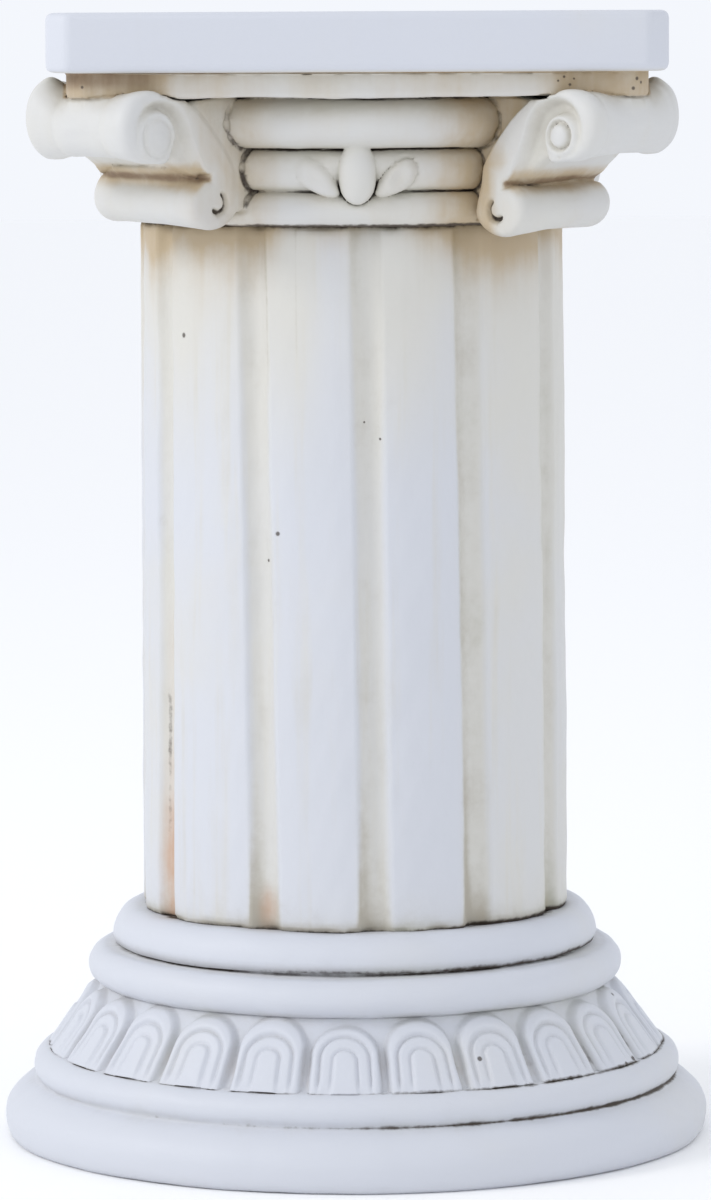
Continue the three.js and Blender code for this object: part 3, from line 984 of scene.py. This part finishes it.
def hook_line(x, z, lift):
    """How near points are to the middle of the hook cut in a curl's end, from 0 to 1."""
    aside, above = x - CURL[0] + HOOK_ASIDE, z - CURL[1] - lift - 0.5
    open_side = np.abs((np.arctan2(aside, above) + 2.2 + math.pi) % (2 * math.pi) - math.pi)
    bend = bell(np.hypot(aside, above) - HOOK_RADIUS, 1.15) * smooth(open_side, 2.1, 1.5)
    return np.maximum(bend, 0.8 * bell(np.hypot(aside - 0.5, above + HOOK_RADIUS + 0.2), 1.6))


def end_relief(x, z, casting):
    """Relief of a scroll's end: a canal that winds in to a domed eye, and a hook cut in the curl below."""
    rim = casting.eye + EYE_RING
    from_eye = np.hypot(x - EYE[0], z - EYE[1])
    round_eye = np.arctan2(x - EYE[0], z - EYE[1])
    fading = 1 - 0.8 * smooth(round_eye, -0.9, 1.6) * (z > NOTCH_LIP[1] - 4)
    canal = outline_distance(canal_outline(casting.lift, rim), x, z)
    values = -CANAL_DEPTH * smooth(-canal, -0.4, 3.4) * fading
    values = values + 1.1 * bell(from_eye - rim + 0.9, 1.4)
    values -= casting.cut * bell(from_eye - casting.eye - 0.3, 1.1)
    values += EYE_DOME * np.sqrt(np.maximum(1 - (from_eye / casting.eye) ** 2, 0))
    values -= 0.4 * bell(from_eye - 0.5 * casting.eye, 1.4) * (casting.eye > 7.5)
    return values - HOOK_DEPTH * hook_line(x, z, casting.lift)


def scroll_field(along, across, z, half_width, casting):
    """Distance to a corner scroll with its web. Its rolls are drawn in towards their middle."""
    charts = [Chart((96.0, 474.0), (218.0, 572.0), 0.5) for _ in range(3)]
    outline, relief, web = charts
    outline.values = outline_distance(scroll_outline(casting.lift), outline.x, outline.z)
    relief.values = end_relief(relief.x, relief.z, casting)
    web.values = outline_distance(web_outline(casting.lift), web.x, web.z)
    side_share = across / half_width
    from_middle = np.minimum(np.abs(side_share), 1)
    upper = smooth(z, *WAIST_JOIN)
    waist = 0.10 + 0.13 * upper
    crease = CREASE_DEPTH * bell(from_middle - casting.crease, 0.05) * upper
    size = 1 - waist * (1 - from_middle**2.5) - crease
    size = size + END_CHANGE * casting.larger * side_share
    level = z + FAR_END_RISE * casting.larger * side_share * (1 - upper)
    foot = VOLUTE[1] - VOLUTE_HALF[1]
    tall = 1 + casting.taller * smooth(-side_share * casting.larger, 0.35, 0.85) * upper
    level = foot + (level - foot) / tall
    centre_along = CURL[0] + (VOLUTE[0] - CURL[0]) * upper
    centre_z = CURL[1] + casting.lift + (VOLUTE[1] - CURL[1] - casting.lift) * upper
    flat_along = centre_along + (along - centre_along) / size
    flat_z = centre_z + (level - centre_z) / size
    side = outline.at(flat_along, flat_z) * size
    reach = half_width - np.where(side_share * casting.larger < 0, casting.shorter, 0)
    end = np.abs(across) - reach - casting.relief * relief.at(flat_along, flat_z)
    rounding = CURL_ROUNDING + upper * (7.5 * smooth(flat_along, *BOSS) - 3.4)
    neck = np.maximum((along + np.abs(across) - NECK_CORNER) / math.sqrt(2), along - NECK_END)
    neck = np.maximum(np.maximum(neck, NECK_START - along), NECK_BOTTOM - z)
    neck = soft_max(neck, np.abs(across) - NECK_HALF, 5.0)
    scroll = soft_min(soft_max(side, end, rounding), neck, 7.0)
    wall = np.abs(across) - half_width + casting.inset
    return soft_min(scroll, soft_max(web.at(along, z), wall, 3.0), 1.5)


def scroll_places(turn, points, half_width):
    """Where points are at the nearest corner's scroll: its number, then along, across and height."""
    corner = (turn % (2 * math.pi) // (math.pi / 2)).astype(int) % 4
    angle = math.pi / 4 + corner * (math.pi / 2)
    along = points[:, 0] * np.sin(angle) - points[:, 1] * np.cos(angle)
    across = points[:, 0] * np.cos(angle) + points[:, 1] * np.sin(angle)
    larger = np.array([casting.larger for casting in CASTINGS])[corner]
    lower = 1 - smooth(points[:, 2], *WAIST_JOIN)
    level = points[:, 2] + FAR_END_RISE * larger * lower * across / half_width
    return corner, along, across, level


def canal_shade_and_dust(corner, along, across, level):
    """How far points are inside the canals on the ends of the scrolls, from 0 to 1, where shade and dust are
    painted.
    """
    dust_and_shade = np.zeros(len(along))
    for i, casting in enumerate(CASTINGS):
        here = (corner == i) & (np.abs(across) > 24)
        outline = canal_outline(casting.lift, casting.eye + EYE_RING)
        canal = outline_distance(outline, along[here], level[here])
        dust_and_shade[here] = smooth(-canal, -1.0, 3.5) * min(0.35 + 0.4 * casting.cut, 1)
    return dust_and_shade


def oval_field(across, up, out, half_sizes):
    """Nearly the distance to an oval body at the middle of its own axes."""
    scaled = [value / size for value, size in zip((across, up, out), half_sizes)]
    near = np.sqrt(sum(v * v for v in scaled)) + 1e-6
    slope = np.sqrt(sum((v / size) ** 2 for v, size in zip(scaled, half_sizes))) + 1e-6
    return near * (near - 1) / slope


def add_to(field, window, extra, line, blend):
    """Joins a carved form to what is there, with a fine open line of the given width where they meet."""
    there = field[window]
    joined = soft_min(there, extra, blend)
    field[window] = np.maximum(joined, line - np.hypot(there, extra))


def square_distance(x, y, width, corner):
    half = width / 2
    straight = np.maximum(np.abs(x), np.abs(y)) - half
    cut = (np.abs(x) + np.abs(y) - (2 * half - corner)) / math.sqrt(2)
    return soft_max(straight, cut, 2.5)


def plate_field(square, z, bottom, top, rounding):
    middle, half = (bottom + top) / 2, (top - bottom) / 2
    return soft_max(square[..., None], np.abs(z - middle) - half, rounding)


def moulding_distance(radius, z):
    """Distance to the round mouldings below the square plates."""
    mouldings = [half_round(m, 24) for m in (ASTRAGAL, EGG_BAND, ECHINUS)]
    neck = mouldings[-1][-1][0]
    profile = np.concatenate([[(0, SHAFT_TOP)], *mouldings, [(neck, ECHINUS[3] + 5), (0, ECHINUS[3] + 5)]])
    return outline_distance(profile, radius, z)


def window_round(axis, z, angle, radius, half, levels):
    """The part of the grid round a point at an angle and radius: how far out, aside and up its points are."""
    cx, cy = radius * math.sin(angle), -radius * math.cos(angle)
    i = np.flatnonzero(np.abs(axis - cx) < half)
    j = np.flatnonzero(np.abs(axis - cy) < half)
    k = np.flatnonzero((z > levels[0]) & (z < levels[1]))
    window = (slice(i[0], i[-1] + 1), slice(j[0], j[-1] + 1), slice(k[0], k[-1] + 1))
    x, y = np.meshgrid(axis[i], axis[j], indexing="ij")
    out = (x * math.sin(angle) - y * math.cos(angle))[..., None]
    aside = (x * math.cos(angle) + y * math.sin(angle))[..., None]
    return window, out, aside, z[k][None, None, :]


def add_egg(field, axis, z, angle):
    """Adds the egg of one face, and a leaf rising outwards on each side of its foot."""
    for side in (-1, 1):
        turn = angle + side * LEAF_ASIDE / LEAF_PLACE[0]
        window, out, level, up = window_round(axis, z, turn, LEAF_PLACE[0], 24, LEAF_LEVELS)
        out, up = out - LEAF_PLACE[0], up - LEAF_PLACE[1]
        tilt = math.radians(LEAF_TILT) * side
        along = (level * math.cos(tilt) + up * math.sin(tilt)) * side
        across = -level * math.sin(tilt) + up * math.cos(tilt)
        across = across / np.clip(1 + 0.28 * along / LEAF_HALF[0], 0.6, 1.4)
        leaf = oval_field(along, across, out, LEAF_HALF)
        dish = oval_field(along - DISH_PLACE[0], across, out - DISH_PLACE[1], DISH_HALF)
        sunk = 0.9 if side < 0 else 0.0
        leaf = soft_max(leaf, -dish - sunk, 1.0)
        add_to(field, window, leaf.astype(np.float32), line=0.35 + 0.2 * side, blend=1.6)
    window, out, level, up = window_round(axis, z, angle, EGG_PLACE[0], 22, EGG_LEVELS)
    out, up = out - EGG_PLACE[0], up - EGG_PLACE[1]
    taper = 1 - 0.12 * smooth(up, 0, EGG_HALF[1])
    egg = oval_field(level / taper, up, out, EGG_HALF)
    add_to(field, window, egg.astype(np.float32), line=smooth(up, 12, -4), blend=0.6)


def capital_field(sizes):
    """Distance to the capital's surface on a grid, with the grid's first point and step."""
    step = sizes.grain / MM
    axis = np.arange(-CARVING_REACH, CARVING_REACH + step, step)
    z = np.arange(CARVING_LOW, CARVING_HIGH, step)
    x, y = np.meshgrid(axis, axis, indexing="ij")
    radius = np.hypot(x, y)
    turn = np.arctan2(x, -y)
    reach = np.arange(0, radius.max() + 1, 0.5)
    flat = moulding_distance(reach[:, None], z[None, :])
    field = np.empty((len(axis), len(axis), len(z)), np.float32)
    for k in range(len(z)):
        field[:, :, k] = np.interp(radius, reach, flat[:, k])
    for seed, moulding in ((31, EGG_BAND), (32, ECHINUS)):
        width = np.clip(0.75 + 0.6 * ripple(turn, 24, seed), 0.1, 1.7)
        there = np.flatnonzero(np.abs(z - moulding[2]) < 4)
        from_line = np.hypot((radius - moulding[0] + moulding[1])[..., None], z[there] - moulding[2])
        field[:, :, there] = np.maximum(field[:, :, there], width[..., None] - from_line)
    high = np.flatnonzero(z > FILLET_BOTTOM - 4)
    slab_width = sizes.slab_width / MM
    fillet = square_distance(x, y, FILLET_WIDTH, FILLET_CORNER)
    slab = square_distance(x, y, slab_width, SLAB_CORNER)
    plates = np.minimum(
        plate_field(fillet, z[high], FILLET_BOTTOM, SLAB_BOTTOM + 4, 2.0),
        plate_field(slab, z[high], SLAB_BOTTOM, TOP, 4.5),
    )
    field[:, :, high] = np.minimum(field[:, :, high], plates)
    half_width = sizes.scroll_width / MM / 2
    chance = np.random.default_rng(17)
    for corner in range(4):
        angle = math.radians(45 + 90 * corner)
        levels = (CARVING_LOW, SLAB_BOTTOM + 2)
        window, along, across, up = window_round(axis, z, angle, SCROLL_PLACE, SCROLL_REACH, levels)
        scroll = scroll_field(along, across, up, half_width, CASTINGS[corner])
        wave = np.sin(up * 0.31 + chance.uniform(0, 6)) + np.sin(up * 0.83 + chance.uniform(0, 6))
        line = np.clip(0.95 + 0.3 * wave, 0.4, 1.6) * smooth(up, FILLET_BOTTOM + 4, FILLET_BOTTOM)
        add_to(field, window, scroll.astype(np.float32), line, blend=1.2)
    for face in range(4):
        add_egg(field, axis, z, math.radians(90 * face))
    return field, (axis[0], axis[0], z[0]), step


def capital_mesh(sizes):
    """The carved capital, with one large face in the middle of each flat side."""
    field, start, step = capital_field(sizes)
    points, faces = surface_of(field, start, step)
    faces = largest_shell(points, faces)
    half_slab = sizes.slab_width / MM / 2
    top, side = half_slab - TOP_MARGIN, half_slab - SIDE_MARGIN
    middle, half = (SLAB_BOTTOM + TOP) / 2, (TOP - SLAB_BOTTOM) / 2 - EDGE_MARGIN
    flat_sides = [(2, TOP, (0, 0), (top, top)), (2, SHAFT_TOP, (0, 0), (SEAT_HALF, SEAT_HALF))]
    flat_sides += [(0, level, (0, middle), (side, half)) for level in (half_slab, -half_slab)]
    flat_sides += [(1, level, (middle, 0), (half, side)) for level in (half_slab, -half_slab)]
    patches = []
    for axis, level, centre, reach in flat_sides:
        faces, patch = plain_patch(points, faces, axis, level, centre, reach)
        patches.append(patch)
    points, groups = without_loose(points, [faces, *patches])
    fillet = (points[:, 2] > FILLET_BOTTOM - 0.5) & (points[:, 2] < SLAB_BOTTOM - 0.5)
    mesh = thinned(mesh_of("capital_carving", points, groups), CAPITAL_TRIANGLES, np.flatnonzero(fillet))
    mesh.name = "capital_finish"
    return mesh


def weather_capital(mesh, half_scroll):
    """Roughens the capital below its slab, writes the layers that its paint reads, and gives its points."""
    turn, z, points = turn_and_height(mesh)
    below_slab = smooth(z, SLAB_BOTTOM + 2, SLAB_BOTTOM)
    roughen(mesh, [(60, 0.3), (19, 0.13)], 51, below_slab)
    corner, along, across, level = scroll_places(turn, points, half_scroll)
    lift = np.array([casting.lift for casting in CASTINGS])[corner]
    inset = np.array([casting.inset for casting in CASTINGS])[corner]
    # Painted shade and dust in the canals on the scrolls' ends
    shelter(mesh, ["shaft"], 0.17 * canal_shade_and_dust(corner, along, across, level))
    radius = np.hypot(points[:, 0], points[:, 1])
    square = np.abs(points[:, :2]).max(axis=1)
    aside = np.abs(across)
    from_face = np.abs((turn + math.pi / 4) % (math.pi / 2) - math.pi / 4)
    from_wall = aside - half_scroll + inset
    from_notch = level - NOTCH_CORNER[1] - 0.6 * lift
    on_fillet = smooth(z, FILLET_BOTTOM - 1, FILLET_BOTTOM + 1) * below_slab * smooth(square, 151, 149)
    on_scroll = within(along, *NOTCH_DIRT) * smooth(aside, 38, 36)
    inner = 138 + 14 * bell(from_wall, 2.0) * smooth(z, 522, 530)
    beside_scroll = smooth(from_face, math.radians(15), math.radians(29)) * smooth(radius, inner + 9, inner)
    beside_scroll = beside_scroll * (0.3 + 0.7 * smooth(turn, -0.2, 0.3))
    corner_dirt = on_fillet * smooth(along, *FILLET_DIRT)
    left_dirt = corner_dirt * smooth(turn, -0.5, -0.7) * smooth(z, FILLET_BOTTOM + 2, FILLET_BOTTOM + 9)
    tan = within(from_notch, *NOTCH_TAN) * on_scroll
    ochre = 0.14 + 0.10 * ripple(turn, 30, 12) + 0.5 * beside_scroll + 0.08 * on_fillet + 0.6 * tan
    ochre = ochre * below_slab * (1 - 0.7 * smooth(along, 168, 180) * (1 - on_fillet)) + 0.5 * corner_dirt
    stain = bell(from_notch, 2.2) * on_scroll + 0.3 * corner_dirt + 0.5 * left_dirt
    lines = 0.95 * bell(z - SHAFT_TOP, 2.0) * within(radius, *JOINT_RING)
    lines += 1.1 * hook_line(along, level, lift) * smooth(aside, 29, 33)
    lines += 0.45 * bell(from_notch, 1.3) * on_scroll
    # Dark line of dirt and painted shade where the webs meet the mouldings
    lines += 0.8 * bell(np.hypot(moulding_distance(radius, z), from_wall), 2.4) * within(z, *WEB_LINE)
    set_layers(
        mesh,
        joint=lines,
        warm=0.6 * below_slab,
        ochre=np.clip(ochre, 0, 1),
        stain=np.clip(stain, 0, 1),
    )
    return points


class COLUMN_OT_capital(bpy.types.Operator):
    """Makes the capital: mouldings, egg and leaves, corner scrolls and the square slab"""

    bl_idname = "column.capital"
    bl_label = "Capital"

    def execute(self, context):
        sizes = context.scene.column_capital
        mesh = capital_mesh(sizes)
        holes = spot_places(weather_capital(mesh, sizes.scroll_width / MM / 2), FILLET_HOLES)
        colours = context.scene.column_paint
        paint = painted_stone("painted_capital", colours, colours.brown, streaks=0.2, grime_and_shade=0.5, holes=holes)
        place_piece("capital", mesh, paint)
        return {"FINISHED"}


# Paint

class Wire:
    """An output of a node in a material. Sums, products and the like of wires add the nodes for them."""

    def __init__(self, tree, socket=None):
        self.tree = tree
        self.socket = socket

    def node(self, kind, settings, inputs, output=0):
        """Adds a node, sets it, links or sets its inputs, and gives one of its outputs."""
        made = self.tree.nodes.new(kind)
        for key, value in settings.items():
            setattr(made, key, value)
        for key, value in inputs.items():
            if isinstance(value, Wire):
                self.tree.links.new(value.socket, made.inputs[key])
            else:
                made.inputs[key].default_value = value
        return Wire(self.tree, made.outputs[output])

    def maths(self, operation, first, second):
        return self.node("ShaderNodeMath", {"operation": operation}, {0: first, 1: second})

    def __add__(self, other):
        return self.maths("ADD", self, other)

    def __sub__(self, other):
        return self.maths("SUBTRACT", self, other)

    def __mul__(self, other):
        return self.maths("MULTIPLY", self, other)

    __radd__ = __add__
    __rmul__ = __mul__

    def __rsub__(self, other):
        return self.maths("SUBTRACT", other, self)

    def larger(self, other):
        return self.maths("MAXIMUM", self, other)

    def between(self, low, high):
        """0 below low, 1 above high, and smooth in between."""
        settings = {"interpolation_type": "SMOOTHSTEP"}
        return self.node("ShaderNodeMapRange", settings, {"Value": self, "From Min": low, "From Max": high})

    def mix(self, first, second):
        """The first colour where this is 0, and the second where it is 1."""
        settings = {"data_type": "RGBA", "clamp_factor": True}
        return self.node("ShaderNodeMix", settings, {0: self, 6: first, 7: second}, 2)

    def layer(self, name):
        return self.node("ShaderNodeAttribute", {"attribute_name": name}, {}, "Fac")

    def stretched(self, scale):
        """Places with each axis scaled."""
        return self.node("ShaderNodeVectorMath", {"operation": "MULTIPLY"}, {0: self, 1: scale})

    def noise(self, scale, detail=4.0, rough=0.55):
        inputs = {"Vector": self, "Scale": scale, "Detail": detail, "Roughness": rough}
        return self.node("ShaderNodeTexNoise", {}, inputs, "Fac")

    def distance_to(self, point):
        return self.node("ShaderNodeVectorMath", {"operation": "DISTANCE"}, {0: self, 1: point}, "Value")


def opaque(value):
    return (*value, 1.0)


def painted_stone(name, colours, stain_colour, streaks, grime_and_shade, holes=()):
    """White paint on cast stone, with dirt in the hollows and painted shade on the shaft's flute walls, black
    lines of dirt and painted shade in the joints and creases, and water stains.
    """
    material = bpy.data.materials.new(name)
    material.use_nodes = True
    tree = material.node_tree
    shader = tree.nodes["Principled BSDF"]
    place = Wire(tree).node("ShaderNodeTexCoord", {}, {}, "Object")
    hollow, crevice, joint = place.layer("hollow"), place.layer("crevice"), place.layer("joint")
    warm, ochre, stain = place.layer("warm"), place.layer("ochre"), place.layer("stain")
    cloud = place.noise(7.0, 4.0)
    patch = place.noise(34.0, 5.0, 0.6)
    fine = place.noise(210.0, 4.0, 0.6)
    run = place.stretched((1.0, 1.0, 0.05)).noise(95.0, 3.0, 0.6)
    dirt_and_shade = colours.dirt_and_shade

    yellowed = cloud.between(0.45, 0.72) * 0.35 + hollow * 1.1 + warm
    yellowed = yellowed + run.between(0.5, 0.8) * (0.4 * streaks)
    paint = yellowed.between(0, 1).mix(opaque(colours.cool), opaque(colours.warm))
    runs = run.between(0.5, 0.78) * patch.between(0.35, 0.7) * (0.16 * streaks * dirt_and_shade)
    paint = runs.mix(paint, opaque(colours.grime_and_shade))
    # Dirt in the hollows, and on the shaft painted shade on the flutes' left walls
    settled_and_shaded = (hollow + (patch - 0.5) * 0.45 + (fine - 0.5) * 0.25).between(0.06, 0.62) * (0.7 * grime_and_shade * dirt_and_shade)
    tint = cloud.between(0.45, 0.6).mix(opaque(colours.grime_and_shade), opaque(colours.moss_and_shade))
    paint = settled_and_shaded.mix(paint, tint)
    washed = (ochre * (0.4 + patch * 1.2) + (run - 0.5) * ochre * 0.9).between(0.05, 0.75) * (0.85 * dirt_and_shade)
    paint = washed.mix(paint, opaque(colours.ochre))
    stained = (stain * (patch + run - 0.3)).between(0.05, 0.75) * (0.8 * dirt_and_shade)
    paint = stained.mix(paint, opaque(stain_colour))
    ragged = (patch - 0.5) * 0.8 + (fine - 0.5) * 0.7
    # Black lines: painted shade in the narrow creases, and dirt in the joints
    line = (crevice + (patch - 0.5) * 0.45 + (fine - 0.5) * 0.3).between(0.36, 0.64)
    line = line.larger((joint + ragged).between(0.4, 0.9)) * dirt_and_shade
    paint = line.mix(paint, opaque(colours.crevice))
    pit = crevice * 0
    for middle, width in holes:
        edge = place.distance_to(tuple(middle * MM)) + (fine - 0.5) * (width * 0.6 * MM)
        pit = pit.larger(1 - edge.between(width * 0.45 * MM, width * MM))
    paint = (pit * (0.85 * dirt_and_shade)).mix(paint, opaque(colours.crevice))

    tree.links.new(paint.socket, shader.inputs["Base Color"])
    rough = 0.55 + settled_and_shaded * 0.3 + (fine - 0.5) * 0.2
    tree.links.new(rough.socket, shader.inputs["Roughness"])
    height = fine * 0.35 + patch * 0.5 - pit * 1.5 - line * 0.6 + place.noise(900.0, 2.0) * 0.08
    bump = place.node("ShaderNodeBump", {}, {"Strength": 0.4, "Distance": 0.0008, "Height": height})
    tree.links.new(bump.socket, shader.inputs["Normal"])
    return material


# Stage

def plain_material(name, value):
    material = bpy.data.materials.new(name)
    material.use_nodes = True
    shader = material.node_tree.nodes["Principled BSDF"]
    shader.inputs["Base Color"].default_value = opaque(value)
    shader.inputs["Roughness"].default_value = 0.9
    return material


def add_lamp(name, power, size, place, tint):
    lamp = bpy.data.lights.new(name, "AREA")
    lamp.energy = power
    lamp.size = size
    lamp.color = tint
    holder = bpy.data.objects.new(name, lamp)
    holder.location = place
    holder.rotation_euler = (Vector(LAMP_TARGET) - Vector(place)).to_track_quat("-Z", "Y").to_euler()
    bpy.context.scene.collection.objects.link(holder)


class COLUMN_OT_stage(bpy.types.Operator):
    """Lays a pale floor and sets up soft lamps and the camera"""

    bl_idname = "column.stage"
    bl_label = "Stage"

    def execute(self, context):
        settings = context.scene.column_stage
        scene = context.scene
        corners = [(x * FLOOR_REACH, y * FLOOR_REACH, 0) for x, y in ((-1, -1), (1, -1), (1, 1), (-1, 1))]
        mesh = bpy.data.meshes.new("floor")
        mesh.from_pydata(corners, [], [(0, 1, 2, 3)])
        mesh.materials.append(plain_material("pale_floor", settings.floor))
        floor = bpy.data.objects.new("floor", mesh)
        scene.collection.objects.link(floor)

        world = bpy.data.worlds.new("surroundings")
        world.use_nodes = True
        light = world.node_tree.nodes["Background"]
        light.inputs["Color"].default_value = opaque(settings.sky)
        light.inputs["Strength"].default_value = SKY_STRENGTH
        scene.world = world
        scene.view_settings.view_transform = "Standard"
        add_lamp("key", settings.key, KEY_SIZE, KEY_PLACE, (1.0, 0.985, 0.96))
        add_lamp("fill", settings.fill, FILL_SIZE, FILL_PLACE, (0.86, 0.9, 1.0))

        angles = (CAMERA_TURN, CAMERA_TIP, CAMERA_ROLL, CAMERA_ASIDE)
        turn, tip, roll, aside = (math.radians(angle) for angle in angles)
        camera = bpy.data.cameras.new("camera")
        camera.sensor_width = SENSOR
        camera.lens = SENSOR * FOCAL_PIXELS / PHOTO_HEIGHT
        camera.clip_end = 60.0
        holder = bpy.data.objects.new("camera", camera)
        spot = Vector((math.sin(turn), -math.cos(turn), 0)) * settings.distance
        spot.z = settings.height
        aim = Matrix.Rotation(turn - aside, 4, "Z") @ Matrix.Rotation(math.pi / 2 - tip, 4, "X")
        holder.matrix_world = Matrix.Translation(spot) @ aim @ Matrix.Rotation(roll, 4, "Z")
        scene.collection.objects.link(holder)
        scene.camera = holder
        return {"FINISHED"}


class COLUMN_PT_panel(bpy.types.Panel):
    """Lists the pieces of the column and their sizes"""

    bl_idname = "COLUMN_PT_panel"
    bl_label = "Garden Column"
    bl_space_type = "VIEW_3D"
    bl_region_type = "UI"
    bl_category = "Column"

    def draw(self, context):
        for operator, group in PIECES:
            box = self.layout.box()
            box.operator(operator.bl_idname)
            settings = getattr(context.scene, group)
            for key in settings.__annotations__:
                box.prop(settings, key)
        box = self.layout.box()
        for key in PaintColours.__annotations__:
            box.prop(context.scene.column_paint, key)


GROUPS = {
    "column_base": BaseSizes,
    "column_shaft": ShaftSizes,
    "column_capital": CapitalSizes,
    "column_paint": PaintColours,
    "column_stage": StageSettings,
}
PIECES = (
    (COLUMN_OT_base, "column_base"),
    (COLUMN_OT_shaft, "column_shaft"),
    (COLUMN_OT_capital, "column_capital"),
    (COLUMN_OT_stage, "column_stage"),
)
CLASSES = (*GROUPS.values(), *(operator for operator, _ in PIECES), COLUMN_PT_panel)


def register():
    for made in CLASSES:
        bpy.utils.register_class(made)
    for name, group in GROUPS.items():
        setattr(bpy.types.Scene, name, bpy.props.PointerProperty(type=group))


def unregister():
    for name in GROUPS:
        delattr(bpy.types.Scene, name)
    for made in reversed(CLASSES):
        bpy.utils.unregister_class(made)


def main():
    register()
    bpy.ops.column.base()
    bpy.ops.column.shaft()
    bpy.ops.column.capital()
    bpy.ops.column.stage()


if __name__ == "__main__":
    main()
